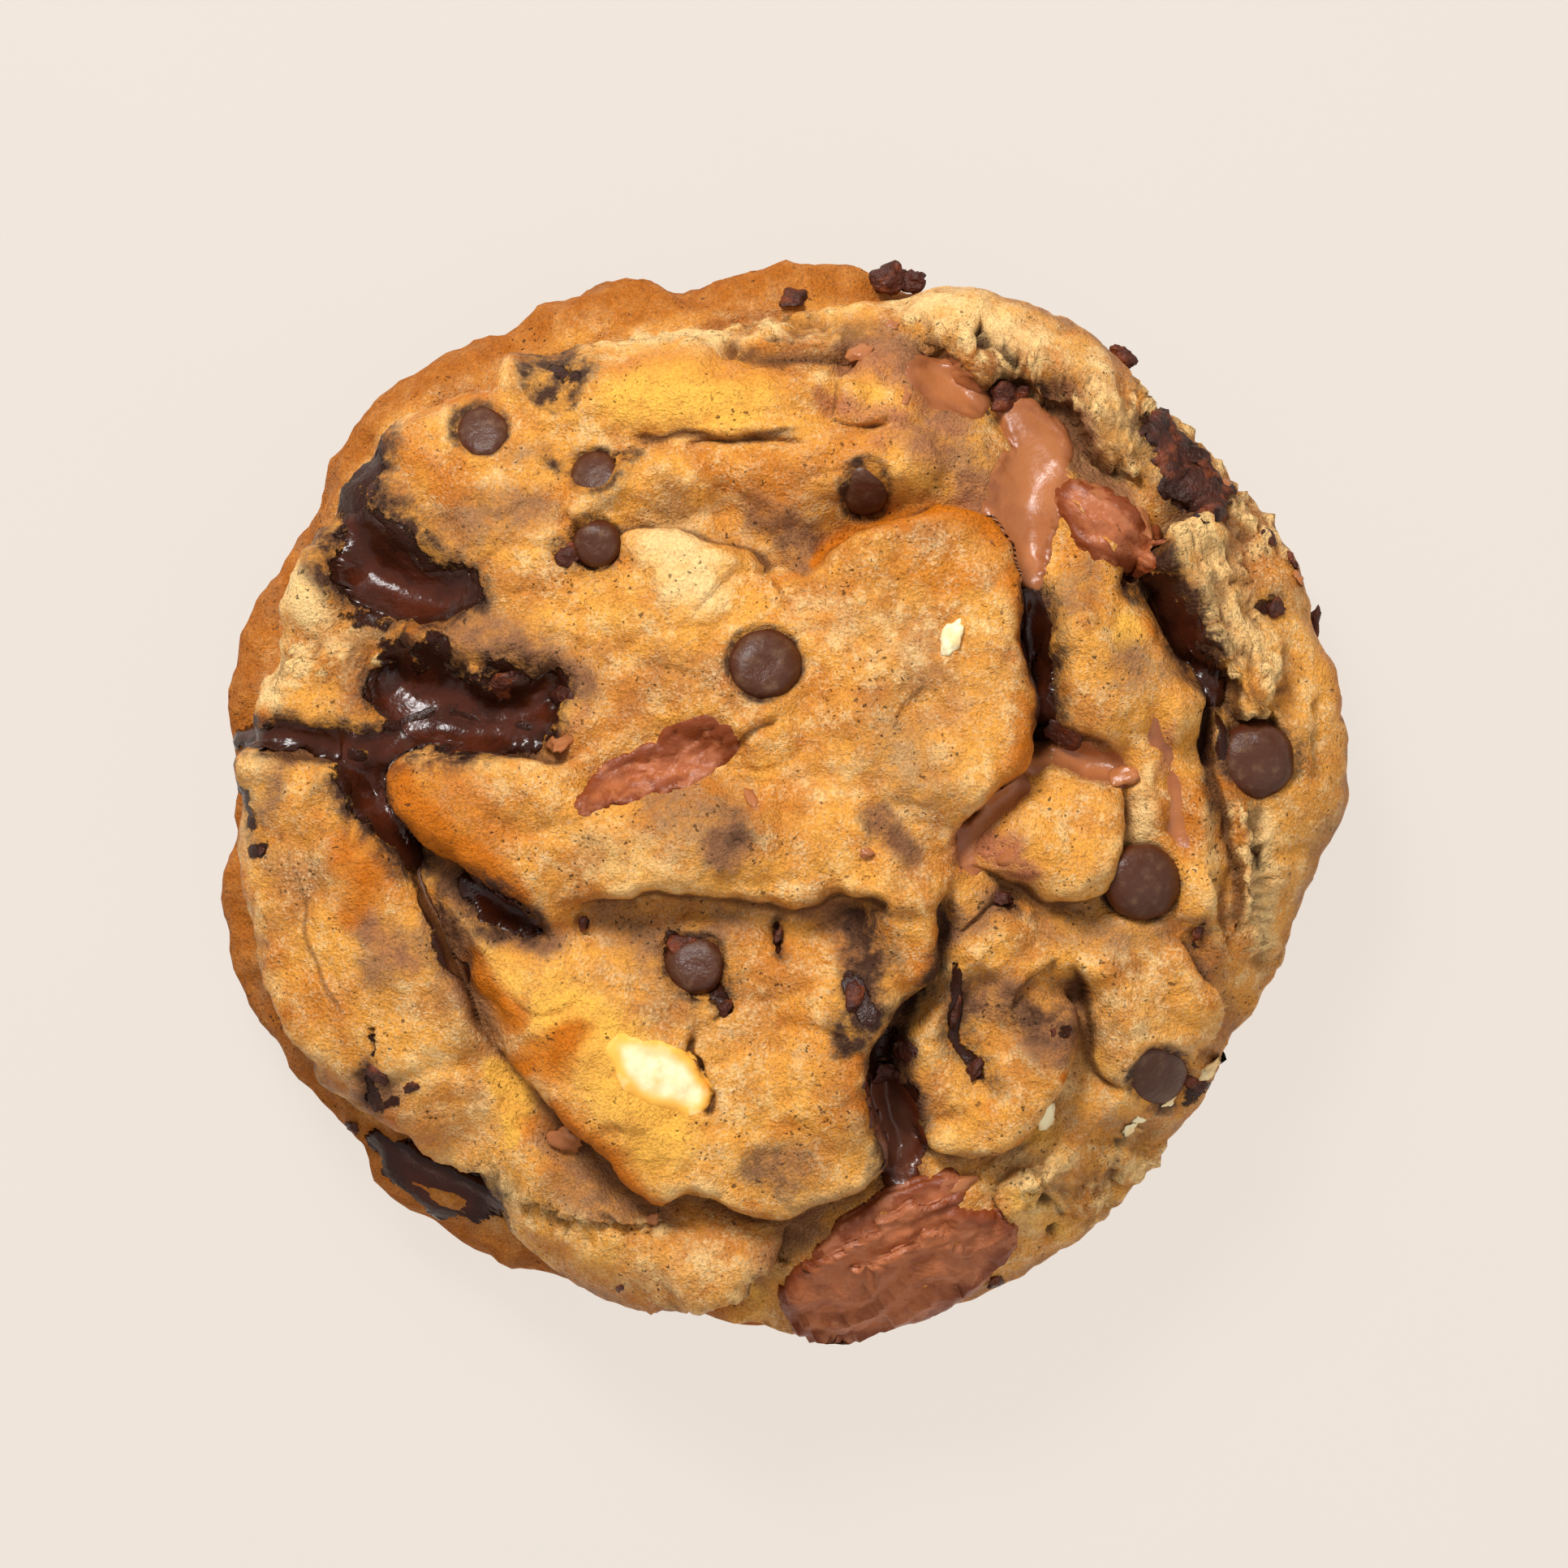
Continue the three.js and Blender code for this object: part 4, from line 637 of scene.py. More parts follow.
# Noise that makes outlines ragged along X and Y: its length, its size and its layers.
RAGS = [(2.2, 1, (7, 27)), (2.2 / 3, 0.5, (37, 57))]
# Waves on the melted pools: length, size and layer.
POOL_WAVES = (4, 0.08, 7)

# Chunks that lie in the dough, laid out like the pools, and the turn of their flakes in degrees,
# their pitch and their depth.
CHUNKS = {
    "milk_chunk_near": ("flaky", 0.7, 0.1, [
        [(3.6, -50.4, 3.6), (8, -48.6, 5.6), (13, -46.6, 6), (17.4, -45.6, 4.8), (20.6, -44.4, 2.6)],
        [(7.4, -45, 2.6), (12, -42.2, 2.6), (16.6, -39.2, 1.3)],
        [(3, -52.6, 2.4), (8.4, -52.2, 3), (14, -50.6, 2.6)],
    ], (24, 2.6, 1.2)),
    "milk_chunk_upper_right": ("flaky", 0.5, 0.25, [
        [(29.4, 30.6, 2), (32.6, 28, 3.2), (36, 26, 2.2)],
    ], (-35, 1.8, 0.8)),
    "milk_chunk_middle": ("flaky", 0.4, 0.2, [
        [(-20, -0.2, 1), (-17, 1.8, 2.1), (-13.6, 3.6, 1.9)],
        [(-12.6, 2.6, 1.6), (-10, 4.4, 2.3), (-6.6, 5.8, 1.5)],
        [(-11.6, 6.4, 0.9), (-8, 7.6, 0.9)],
    ], (30, 1.6, 0.7)),
    "dark_chunk_edge": ("crumbly", 0.5, 0.55, [
        [(38.2, 37.4, 1.8), (40.8, 33.8, 2.5), (43.4, 30.4, 2)],
    ], (-60, 1.6, 0.9)),
    "white_chunk_lower": ("white", 0.2, 0.12, [
        [(-16.6, -24.6, 1.2), (-14.4, -26.4, 2.8), (-11.6, -28, 2.9), (-9.6, -29.4, 2)],
    ], (-40, 3.4, 0.1)),
}
# Pools and chunks: the width of their rounded rim and how deep it lies, how thick they are, and the
# height on the middle line that they thicken towards.
PATCH_RIM = 0.7
PATCH_SUNK = 0.7
PATCH_THICKNESS = 0.9
PATCH_INWARDS = -20
# The lowest dough that carries any, and how far in from the edge their main colour is reached.
PATCH_LOWEST = 6
PATCH_CORE = 1.8
# How much they are evened out where they face up more steeply than this.
PATCH_FACES_UP = 0.3
POOL_EVENED = 0.6
CHUNK_EVENED = 0.5
# The flakes' edges wander by these noises, in pitches, and carry a grain, in shares of their depth.
FLAKE_WANDER = [(2.6, 1.1, 5), (0.8, 0.35, 6)]
FLAKE_GRAIN = (0.7, 0.2, 8)
# How strongly dark chocolate stains the dough round it, and how far.
SEEP = {"dark": 0.95, "brown": 0.7}
SEEP_REACH = 3.6
DROP_SEEP_REACH = 0.9
SEEP_FADE = (-0.2, 1)

# Small pieces, as (x, y, half width, stretch, turn in degrees).
BITS = {
    "dark_bits": ("crumbly", [
        (10.8, 53.6, 1.8, 1.3, 0), (13.2, 53.5, 1.3, 1.2, 20), (34.8, 45.7, 1.2, 1.3, -50),
        (0.9, 51.8, 1.2, 1.3, 10), (22.5, 41.3, 1.7, 1.2, 10), (24, 41.7, 0.8, 1.2, 0),
        (-21.8, 24.9, 1.2, 1.2, 20), (21.8, -9.8, 0.8, 1.3, 20), (38.3, 39, 1.1, 1.2, -30),
        (39.7, 36.9, 0.9, 1.2, 0), (50, 19.7, 1.1, 1.2, 40), (49.3, 27, 0.8, 1.6, -40),
        (52.2, 24.5, 0.7, 1.8, -50), (54.4, 18.2, 0.7, 3, 80), (27.2, -23, 0.8, 1.3, 60),
        (42, -28.8, 0.9, 1.7, -20), (7, -19.5, 1.1, 1.9, 80), (19.2, -27, 0.8, 1.5, 60),
        (17.2, -21, 0.5, 5, 80), (-44.8, -33.7, 0.7, 1.6, -35), (-45, -29.3, 0.6, 1.8, -15),
        (-41.5, -27.8, 0.8, 1.8, -40), (-38, -29, 0.7, 1.3, 20), (-53.9, -5.2, 0.9, 1.2, 40),
        (-55.6, 2.3, 0.8, 2.6, -80), (-0.7, -13.5, 0.4, 2.6, 80), (-20.5, -12.3, 0.5, 1.8, 80),
        (-16.8, -49.4, 0.4, 1.4, 50), (21.5, -49.3, 0.7, 1.5, 30), (-6.2, -20.8, 0.8, 1.4, 60),
        (-10.2, -15, 1.7, 1.3, -40), (28.3, 6.7, 1.3, 1.8, -35), (-28.7, 11.7, 1.5, 1.3, 20),
        (-22.5, 10.8, 1.2, 1.2, 0), (41.8, -13.2, 0.5, 2.2, 70), (42.8, 29, 0.8, 1.2, 0),
        (12.2, -25.2, 1.2, 1.2, 0), (10.2, -27.5, 1.2, 1.3, 0),
    ]),
    "milk_bits": ("milk", [
        (-22.5, 6.3, 1.2, 1.9, 35), (-3.5, 0.3, 0.7, 2, -70), (12.5, 41.5, 0.8, 1.7, 80),
        (-22.3, -34.3, 1.2, 1.6, -25), (8.2, -5.2, 0.6, 1.4, 0), (17.5, -38.8, 1, 1.9, 25),
        (-13.6, -42.4, 0.6, 1.4, 0), (-6, -47.9, 0.5, 1.4, 30), (31.7, 31, 1.2, 1.7, -30),
        (36.5, 28.2, 1, 1.8, -70), (34.3, 2.8, 1.2, 1.5, 10), (-45, -29.8, 0.5, 1.2, 0),
        (43.3, 29, 0.8, 1.5, 60), (45.2, 32.3, 0.6, 1.5, -60), (52.8, 23, 0.7, 1.7, -50),
        (7.5, 45.7, 1, 1.6, 20), (22.9, -6, 1.2, 1.7, -10), (10.4, 49, 0.8, 1.5, -20),
    ]),
    "white_bits": ("white", [
        (16.8, 16.5, 1.2, 1.9, 65), (26.3, -32, 0.9, 1.9, 80), (44, -27.3, 1, 2.2, 25),
        (38.8, -30.7, 0.6, 1.9, 35), (36.4, -32, 0.7, 2, 25), (35.1, -33.3, 0.5, 1.8, 35),
    ]),
}
# Bits: their height in shares of their width, and the lengths and sizes of their noise and lumps.
BIT_SUBDIVISIONS = 3
BIT_HEIGHT = 0.7
BIT_NOISE = (1.1, 0.45)
BIT_LUMPS = (0.8, 0.5)
# Bits beyond the dough's outline seen from above lie at this height against its side.
BIT_ON_SIDE = 11.5
BIT_LOWEST = 3


def linear(code):
    """A colour written as #rrggbb, as the linear values that shaders take."""
    shares = [int(code[i:i + 2], 16) / 255 for i in (1, 3, 5)]
    return [share / 12.92 if share <= 0.04045 else ((share + 0.055) / 1.055) ** 2.4 for share in shares]


def colour(name, code, description):
    """A colour that a user can change, given as #rrggbb."""
    return FloatVectorProperty(
        name=name, description=description, subtype="COLOR", size=3, min=0, max=1, default=linear(code))


def length(name, default, description):
    """A length that a user can change, given in millimetres."""
    return FloatProperty(
        name=name, description=description, default=default * MM, min=0, unit="LENGTH", precision=5)


class CookieSizes(bpy.types.PropertyGroup):
    facets: IntProperty(
        name="Facets", description="Squares along each edge of the ball that the dough is made from",
        default=128, min=8, max=128)
    roll: length("Roll", 1.0, "How far the edge of a fold leans over its crease")
    swell: length("Swell", 0.6, "How far all dough is thrown out of true")
    dimple: length("Dimple", 0.45, "Height of the small uneven swells")
    crumb: length("Crumb", 0.16, "Height of the crumb on the crust")
    floor: length("Floor", 2000, "Side of the pale floor")
    frame_width: length("Frame width", 161, "How much of the floor the camera's frame spans")


class CookieColours(bpy.types.PropertyGroup):
    dough: colour("Dough", "#f0a441", "Dough on the tops of the folds")
    dough_deep: colour("Deep dough", "#cc8032", "Darker mottling of the dough")
    # Pale grains of the crust, which partly stand in for painted glints.
    sugar_and_glint: colour("Sugar", "#ffdca6", "Pale grains of the crust")
    # Painted shade in the hollows; the foot's mottling also takes it as a darker tone.
    hollow: colour("Hollow", "#a0683a", "Dough in the hollows")
    foot: colour("Foot", "#ac5c0e", "The browned foot")
    # Also laid over the ridges as a painted highlight.
    pale: colour("Pale", "#ffd28c", "Pale crust")
    crumb: colour("Crumb", "#ffce86", "Torn crumb")
    # One of its patches is a painted sheen.
    butter: colour("Butter", "#ffba4a", "Bright yellow dough over white chocolate")
    toast: colour("Toast", "#cb6d00", "Toasted edges of the folds")
    # Besides the stains, some of its patches are painted shade in hollows and under folds.
    stain: colour("Stain", "#956440", "Dough stained by melted chocolate")
    salmon: colour("Salmon", "#b97048", "Dough mixed with milk chocolate")
    char: colour("Charcoal", "#4a2c1a", "The darkest stains round the dark chocolate")
    # Painted shade at the bottom of the creases and between torn crumbs.
    seam: colour("Seam", "#6a4020", "The bottom of the creases")
    # Also the painted shade in the cracks.
    cocoa: colour("Cocoa", "#34160a", "Film of melted dark chocolate")
    dark: colour("Dark chocolate", "#4c1f0e", "Melted dark chocolate")
    brown: colour("Brown chocolate", "#6e4230", "Melted chocolate with milk in it")
    drop: colour("Drop", "#543220", "Chocolate drops")
    bloom: colour("Bloom", "#7a563c", "Dull bloom on the tops of the drops")
    milk: colour("Milk chocolate", "#b06c3e", "Melted milk chocolate")
    milk_rim: colour("Milk rim", "#9a5a34", "Rims of the melted milk chocolate")
    milk_deep: colour("Deep milk chocolate", "#823c18", "Edges and flakes of the milk chocolate")
    flake: colour("Flaky chocolate", "#b2653a", "Broken faces of the chunks of milk chocolate")
    white: colour("White chocolate", "#fff0c0", "White chocolate")
    floor: colour("Floor", "#f0e6dc", "The pale floor")


def bump(share):
    """1 in the middle of a bump and 0 from its edge outwards."""
    return (1 - np.clip(share, -1, 1) ** 2) ** 2


def ramp(value, low, high):
    """0 up to the low value and 1 from the high one, with a smooth step between them."""
    share = np.clip((value - low) / (high - low), 0, 1)
    return share * share * (3 - 2 * share)


LINE_STEPS = 8
SPOT_LENGTH = 0.1


def smooth_line(points):
    """A smooth curve through points of any number of values, sampled closely. A single point makes a
    line too short to tell from it."""
    points = np.array(points, float)
    if len(points) == 1:
        points = np.vstack([points, points])
        points[1, 0] += SPOT_LENGTH
    padded = np.vstack([2 * points[0] - points[1], points, 2 * points[-1] - points[-2]])
    place = np.linspace(0, len(points) - 1, LINE_STEPS * len(points) + 1)
    first = np.minimum(place.astype(int), len(points) - 2)
    return spline(*(padded[first + i] for i in range(4)), place - first)


def spline(a, b, c, d, part):
    """Catmull-Rom from b to c, with a before and d after them."""
    part = part[:, None]
    bend = 2 * a - 5 * b + 4 * c - d
    return b + part / 2 * (c - a + part * (bend + part * (3 * (b - c) + d - a)))


def near_line(spots, line, reach):
    """The spots within reach of a sampled line seen from above: their numbers, their distance, share
    of the way along, the line's width there, the way to it, and whether they lie on its left."""
    flat = line[:, :2]
    inside = (spots[:, :2] > flat.min(0) - reach) & (spots[:, :2] < flat.max(0) + reach)
    numbers = np.nonzero(inside.all(1))[0]
    ahead = np.diff(flat, axis=0)
    back = spots[numbers, None, :2] - flat[None, :-1]
    along = np.clip((back * ahead).sum(2) / (ahead ** 2).sum(1), 0, 1)
    off = along[..., None] * ahead - back
    best = (off ** 2).sum(2).argmin(1)
    rows = np.arange(len(numbers))
    off, along, ahead = off[rows, best], along[rows, best], ahead[best]
    share = (best + along) / (len(line) - 1)
    width = line[best, -1] * (1 - along) + line[best + 1, -1] * along
    left = ahead[:, 1] * off[:, 0] - ahead[:, 0] * off[:, 1] >= 0
    return numbers, np.hypot(*off.T), share, width, off, left


def noise_at(spots, size, layer=0):
    """Smooth noise, about -1 to 1, that changes over the given size."""
    shift = Vector((layer, 2 * layer, 3 * layer))
    return np.array([noise.noise(Vector(spot) / size + shift) for spot in spots])


def noises_at(spots, noises, side=0):
    """Several noises added up, each given by its length, its size and its layer."""
    return sum(size * noise_at(spots, reach, layer + side) for reach, size, layer in noises)


def lumps_at(spots, size):
    """1 in the middle of rounded lumps of the given size and 0 in the seams between them."""
    nearest = np.array([noise.voronoi(Vector(spot) / size)[0][:2] for spot in spots])
    return np.clip(nearest[:, 1] - nearest[:, 0], 0, 1)


def heap_height(x, y):
    """Height of the plain heap's top."""
    away = np.hypot(x - CROWN[0], y - CROWN[1]) / CROWN_REACH
    return CROWN_EDGE + (CROWN_TOP - CROWN_EDGE) * (1 - away ** 2)


def radius_round(radii, turn):
    """Radius of a smooth closed outline at a share of the turn round the cookie."""
    angles = np.arange(len(radii)) * 2 * math.pi / len(radii)
    corners = np.transpose([np.cos(angles), np.sin(angles)]) * np.array(radii)[:, None]
    place = turn * len(radii)
    first = place.astype(int) % len(radii)
    padded = np.vstack([corners[-1:], corners, corners[:3]])
    smooth = spline(*(padded[first + i] for i in range(4)), place - place.astype(int))
    return np.hypot(*smooth.T)


def stations(share, turn):
    """Radius and height of the plain heap, for shares from the middle of the top to that of the
    underside."""
    mound, foot = radius_round(MOUND_RADII, turn), radius_round(FOOT_RADII, turn)
    angle = 2 * math.pi * turn
    shoulder = mound - SHOULDER_INSET
    rows = [(shoulder, heap_height(shoulder * np.cos(angle), shoulder * np.sin(angle)))]
    rows += [(mound + (foot - mound) * of_foot - inset, np.full_like(foot, height))
             for of_foot, inset, height in SIDE]
    rows.append((foot - REST_INSET, np.zeros_like(foot)))
    rows = np.transpose([rows[0]] + rows + [rows[-1]], (0, 2, 1))
    pieces = len(rows) - 3
    place = np.clip((share - TOP_SHARE) / (1 - TOP_SHARE - REST_SHARE), 0, 1) * pieces
    first = np.minimum(place.astype(int), pieces - 1)
    side = spline(*(rows[first + i, np.arange(len(share))] for i in range(4)), place - first)
    top = shoulder * np.sqrt(np.minimum(share / TOP_SHARE, 1))
    top = np.transpose([top, heap_height(top * np.cos(angle), top * np.sin(angle))])
    rest = (foot - REST_INSET) * np.sqrt(np.clip(1 - share, 0, REST_SHARE) / REST_SHARE)
    rest = np.transpose([rest, np.zeros_like(rest)])
    return np.where(share[:, None] <= TOP_SHARE, top, np.where(share[:, None] >= 1 - REST_SHARE, rest, side))


def plain_heap(directions):
    """Places on the plain heap for directions from its middle, and which way its surface faces."""
    share = (1 - directions[:, 2]) / 2
    turn = np.arctan2(directions[:, 1], directions[:, 0]) / (2 * math.pi) % 1
    outwards = np.transpose([np.cos(2 * math.pi * turn), np.sin(2 * math.pi * turn)])
    station = stations(share, turn)
    before = stations(np.maximum(share - SHARE_STEP, 0), turn)
    after = stations(np.minimum(share + SHARE_STEP, 1), turn)
    facing = np.column_stack([outwards * (before - after)[:, 1:], (after - before)[:, 0]])
    facing /= np.linalg.norm(facing, axis=1)[:, None]
    return np.column_stack([outwards * station[:, :1], station[:, 1]]), facing, share


def gather_at_creases(spots, on_top):
    """Draws the facets together along the creases, where the dough turns sharply."""
    shift = np.zeros_like(spots)
    for line, *_ in CREASES:
        numbers, distance, _, _, off, _ = near_line(spots, smooth_line(line), GATHER_REACH)
        shift[numbers, :2] += off * (GATHER * bump(distance / GATHER_REACH))[:, None]
    moved = spots + shift * on_top[:, None]
    lift = heap_height(moved[:, 0], moved[:, 1]) - heap_height(spots[:, 0], spots[:, 1])
    moved[:, 2] += lift * on_top
    return moved


def creases_at(spots, creases, shoulder, dip_reach, roll):
    """How far the creases lift each spot, how far they lean it sideways, and how strongly painted shade
    darkens it in a crease.
    """
    lift = np.zeros(len(spots))
    lean = np.zeros((len(spots), 2))
    seam = np.zeros(len(spots))
    for line, high, low, reach in creases:
        numbers, distance, share, _, off, left = near_line(spots, smooth_line(line), max(reach, dip_reach))
        ends = ramp(np.minimum(share, 1 - share), 0, CREASE_FADE)
        climb = np.sqrt(1 - (1 - np.minimum(distance / shoulder, 1)) ** 2)
        up = (-low + (high + low) * climb) * bump(distance / reach)
        lift[numbers] += ends * np.where(left, up, -low * bump(distance / dip_reach))
        push = ends * left * climb * bump(distance / (LEAN_REACH * shoulder))
        push *= roll * (high + low) / ROLL_HEIGHT
        lean[numbers] += off / np.maximum(distance, AT_LINE)[:, None] * push[:, None]
        width = shoulder * np.where(left, SEAM_SHADE_LEFT, SEAM_SHADE_RIGHT)
        seam[numbers] = np.maximum(seam[numbers], ends * bump(distance / width))
    return lift, lean, seam


def near_wide_line(spots, line, reach=1):
    """The spots within reach of a line of (x, y, half width), in shares of its half width: their
    numbers, their distance and the half width there."""
    sampled = smooth_line(line)
    numbers, distance, _, width, _, _ = near_line(spots, sampled, reach * sampled[:, 2].max())
    return numbers, distance, width


def swells_at(spots):
    """How far the swells lift each spot. Where several overlap, the highest and the lowest count."""
    high = np.zeros(len(spots))
    low = np.zeros(len(spots))
    for line, rise in SWELLS:
        numbers, distance, width = near_wide_line(spots, line)
        furthest, lift = (np.maximum, high) if rise > 0 else (np.minimum, low)
        lift[numbers] = furthest(lift[numbers], rise * bump(distance / width))
    return high + low


def side_lumps_at(spots):
    """How far the lumps on the side push each spot outwards."""
    lift = np.zeros(len(spots))
    for line, middle, rise in SIDE_LUMPS:
        numbers, distance, width = near_wide_line(spots, line)
        lift[numbers] += rise * bump(np.hypot(distance, spots[numbers, 2] - middle) / width)
    return lift


def torn_at(spots):
    """How roughly the dough is torn at each spot."""
    torn = np.zeros(len(spots))
    for line, crag in TORN:
        numbers, distance, width = near_wide_line(spots, line)
        torn[numbers] = np.maximum(torn[numbers], crag * bump(distance / width))
    return torn


def cracks_at(spots):
    """How deep the cracks are at each spot."""
    depth = np.zeros(len(spots))
    for line, width, crack_depth in CRACKS:
        reach = width + CRACK_SPREAD
        numbers, distance, share, _, _, _ = near_line(spots, smooth_line(line), reach)
        ends = ramp(np.minimum(share, 1 - share), 0, CREASE_FADE)
        depth[numbers] = np.maximum(depth[numbers], ends * crack_depth * bump(distance / reach))
    return depth


def seats_at(spots):
    """The hollow that each drop sits in, with a low rim of dough pushed up round it."""
    lift = np.zeros(len(spots))
    for x, y, radius, _ in DROPS.values():
        share = np.hypot(spots[:, 0] - x, spots[:, 1] - y) / radius
        lift -= SEAT * bump(share / SEAT_REACH)
        lift += SEAT_RIM_HEIGHT * bump((share - SEAT_RIM) / SEAT_RIM_WIDTH)
    return lift


def paint_at(spots, patches):
    """How strongly patches of one colour cover each spot."""
    paint = np.zeros(len(spots))
    for line, strength in patches:
        numbers, distance, width = near_wide_line(spots, line, PAINT_FADE[1])
        faded = strength * (1 - ramp(distance / width, *PAINT_FADE))
        paint[numbers] = np.maximum(paint[numbers], faded)
    return paint


def pools_at(spots):
    """1 under the melted pools and 0 away from them."""
    depth = inside_lines(spots, [line for pool in POOLS.values() for line in pool[3]], POOL_DENT_RAG)
    return ramp(depth, *POOL_DENT_EDGE)


def seep_at(spots):
    """How far melted dark chocolate has seeped into the dough round the pools and drops."""
    seep = np.zeros(len(spots))
    for kind, _, _, lines in POOLS.values():
        for line in lines if kind in SEEP else []:
            sampled = smooth_line(line)
            numbers, distance, _, width, _, _ = near_line(spots, sampled, sampled[:, 2].max() + SEEP_REACH)
            share = (distance - width) / SEEP_REACH
            seep[numbers] = np.maximum(seep[numbers], SEEP[kind] * (1 - ramp(share, *SEEP_FADE)))
    for x, y, radius, _ in DROPS.values():
        share = (np.hypot(spots[:, 0] - x, spots[:, 1] - y) - radius) / DROP_SEEP_REACH
        seep = np.maximum(seep, SEEP["brown"] * (1 - ramp(share, *SEEP_FADE)))
    return seep


def read_spots(mesh):
    spots = np.empty(3 * len(mesh.vertices))
    mesh.vertices.foreach_get("co", spots)
    return spots.reshape(-1, 3)


def write_spots(mesh, spots):
    mesh.vertices.foreach_set("co", spots.ravel())
    mesh.update()


def facings(mesh):
    faces = np.empty(3 * len(mesh.vertices))
    mesh.vertices.foreach_get("normal", faces)
    return faces.reshape(-1, 3)


def new_mesh(name, bm):
    mesh = bpy.data.meshes.new(name)
    bm.to_mesh(mesh)
    bm.free()
    mesh.shade_smooth()
    return mesh


def add_piece(mesh, material, slot, *nodes):
    """Puts a finished mesh into the scene on the cookie's body, at its real size."""
    mesh.transform(Matrix.Scale(MM, 4))
    piece = bpy.data.objects.new(mesh.name, mesh)
    bpy.context.collection.objects.link(piece)
    mesh.materials.append(material)
    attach(piece, "root")
    if nodes:
        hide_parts(*nodes)
    return piece


def add_paint(mesh, name, values):
    layer = mesh.attributes.new(name, "FLOAT", "POINT")
    layer.data.foreach_set("value", np.asarray(values, np.float32))


def even_ball(facets):
    """A cube cut into even squares and blown up to a ball of radius 1."""
    bm = bmesh.new()
    bmesh.ops.create_cube(bm, size=2)
    bmesh.ops.subdivide_edges(bm, edges=bm.edges, cuts=facets - 1, use_grid_fill=True)
    mesh = new_mesh(DOUGH, bm)
    corners = np.tan(read_spots(mesh) * math.pi / 4)
    write_spots(mesh, corners / np.linalg.norm(corners, axis=1)[:, None])
    return mesh


def make_dough(sizes, colours):
    """A ball moved onto the plain heap, then folded, swollen, torn and roughened, with every patch of
    colour kept as an attribute for its material."""
    mesh = even_ball(sizes.facets)
    spots, facing, share = plain_heap(read_spots(mesh))
    loose = (share < 1 - REST_SHARE).astype(float)
    on_top = ramp(spots[:, 2], *SIDE_FADE) * loose
    spots = gather_at_creases(spots, on_top * (share < TOP_SHARE))
    roll = sizes.roll / MM
    torn = torn_at(spots) * on_top
    wandered = spots.copy()
    for side in (0, 1):
        wandered[:, side] += noises_at(spots, WANDER, side) + torn * noises_at(spots, [TORN_WANDER], side)
    folds, lean, seam = creases_at(wandered, CREASES, SHOULDER, DIP_REACH, roll)
    wrinkles, wrinkle_lean, fine_seam_shade = creases_at(wandered, WRINKLES, WRINKLE_SHOULDER, WRINKLE_DIP, roll)
    seats = seats_at(spots)
    cracks = cracks_at(spots)
    lift = on_top * (swells_at(spots) + FOLD_DEPTH * (folds + wrinkles) + seats - cracks)
    lift += side_lumps_at(spots) * loose - on_top * POOL_DENT * pools_at(spots)
    paint = {name: paint_at(wandered, patches) for name, patches in PAINT.items()}
    # Painted shade in the seams of the creases and wrinkles.
    paint["seam"] = np.maximum(seam, FINE_SEAM_SHADE * fine_seam_shade)
    paint["char"] = np.maximum(paint["char"], seep_at(spots))
    shaped = spots + facing * lift[:, None]
    shaped[:, :2] += (lean + wrinkle_lean) * on_top[:, None]
    for layer, (size, reach) in enumerate([(sizes.swell, SWELL_LENGTH), (sizes.dimple, DIMPLE_LENGTH)]):
        shaped += facing * (loose * size / MM * noise_at(shaped, reach, 10 * layer))[:, None]
    furrow, area = FURROW_LAYERS
    furrows = np.abs(noise_at(shaped * FURROW_STRETCH, FURROW_LENGTH, furrow)) / FURROW_WIDTH
    folded = (1 - np.minimum(furrows, 1)) * ramp(noise_at(shaped, FURROW_AREAS, area), *FURROW_SHARE)
    shaped -= facing * (loose * sizes.dimple / MM * folded)[:, None]
    write_spots(mesh, shaped)
    outwards = facings(mesh)
    low = 1 - ramp(shaped[:, 2], *FOOT_FADE)
    crust = sizes.crumb / MM * noises_at(shaped, CRUST_FINE)
    crust += noises_at(shaped, CRUST_COARSE) + low * noises_at(shaped, CRUST_FOOT)
    crumbs = sum(size * lumps_at(shaped, reach) for reach, size in CRUMB_LUMPS)
    crumbs += noises_at(shaped, CRUMB_NOISE)
    crumbly = np.maximum(torn, FOOT_TORN * low)
    rough = crust * (1 - POOLED_CRUST * paint["cocoa"]) + TORN_DEPTH * crumbly * (crumbs - CRUMB_LEVEL)
    shaped += outwards * (loose * rough)[:, None]
    shaped[:, 2] = np.maximum(shaped[:, 2], 0)
    # Painted shade in the seams between torn crumbs.
    torn_seam_shade = FINE_SEAM_SHADE * np.minimum(torn, 1) * (1 - ramp(crumbs, *CRUMB_SEAM_SHADE))
    paint["seam"] = np.maximum(paint["seam"], torn_seam_shade)
    paint["crumbs"] = np.minimum(TORN_FULL * torn, 1) * ramp(crumbs, *CRUMB_TOPS)
    write_spots(mesh, shaped)
    # The cracks' depth, which also sets the painted shade in them.
    add_paint(mesh, "cracked", cracks * on_top)
    add_paint(mesh, "foot", low)
    for name, values in paint.items():
        add_paint(mesh, name, values * on_top)
    piece = add_piece(mesh, dough_look(colours), "dough", "dough")
    ground.cache_clear()
    # How far the dough lies below its evened height, which sets the painted shade in its hollows.
    hollow = ground().even(shaped) - ground().height(shaped)
    add_paint(mesh, "hollow", ramp(hollow, *HOLLOW_DEPTH) * on_top)
    add_paint(mesh, "ridge", ramp(-hollow, *RIDGE_HEIGHT) * on_top)
    return piece


GROUND_STEP = 0.5
GROUND_REACH = 66
EVEN_REACH = 3
SKY = 100


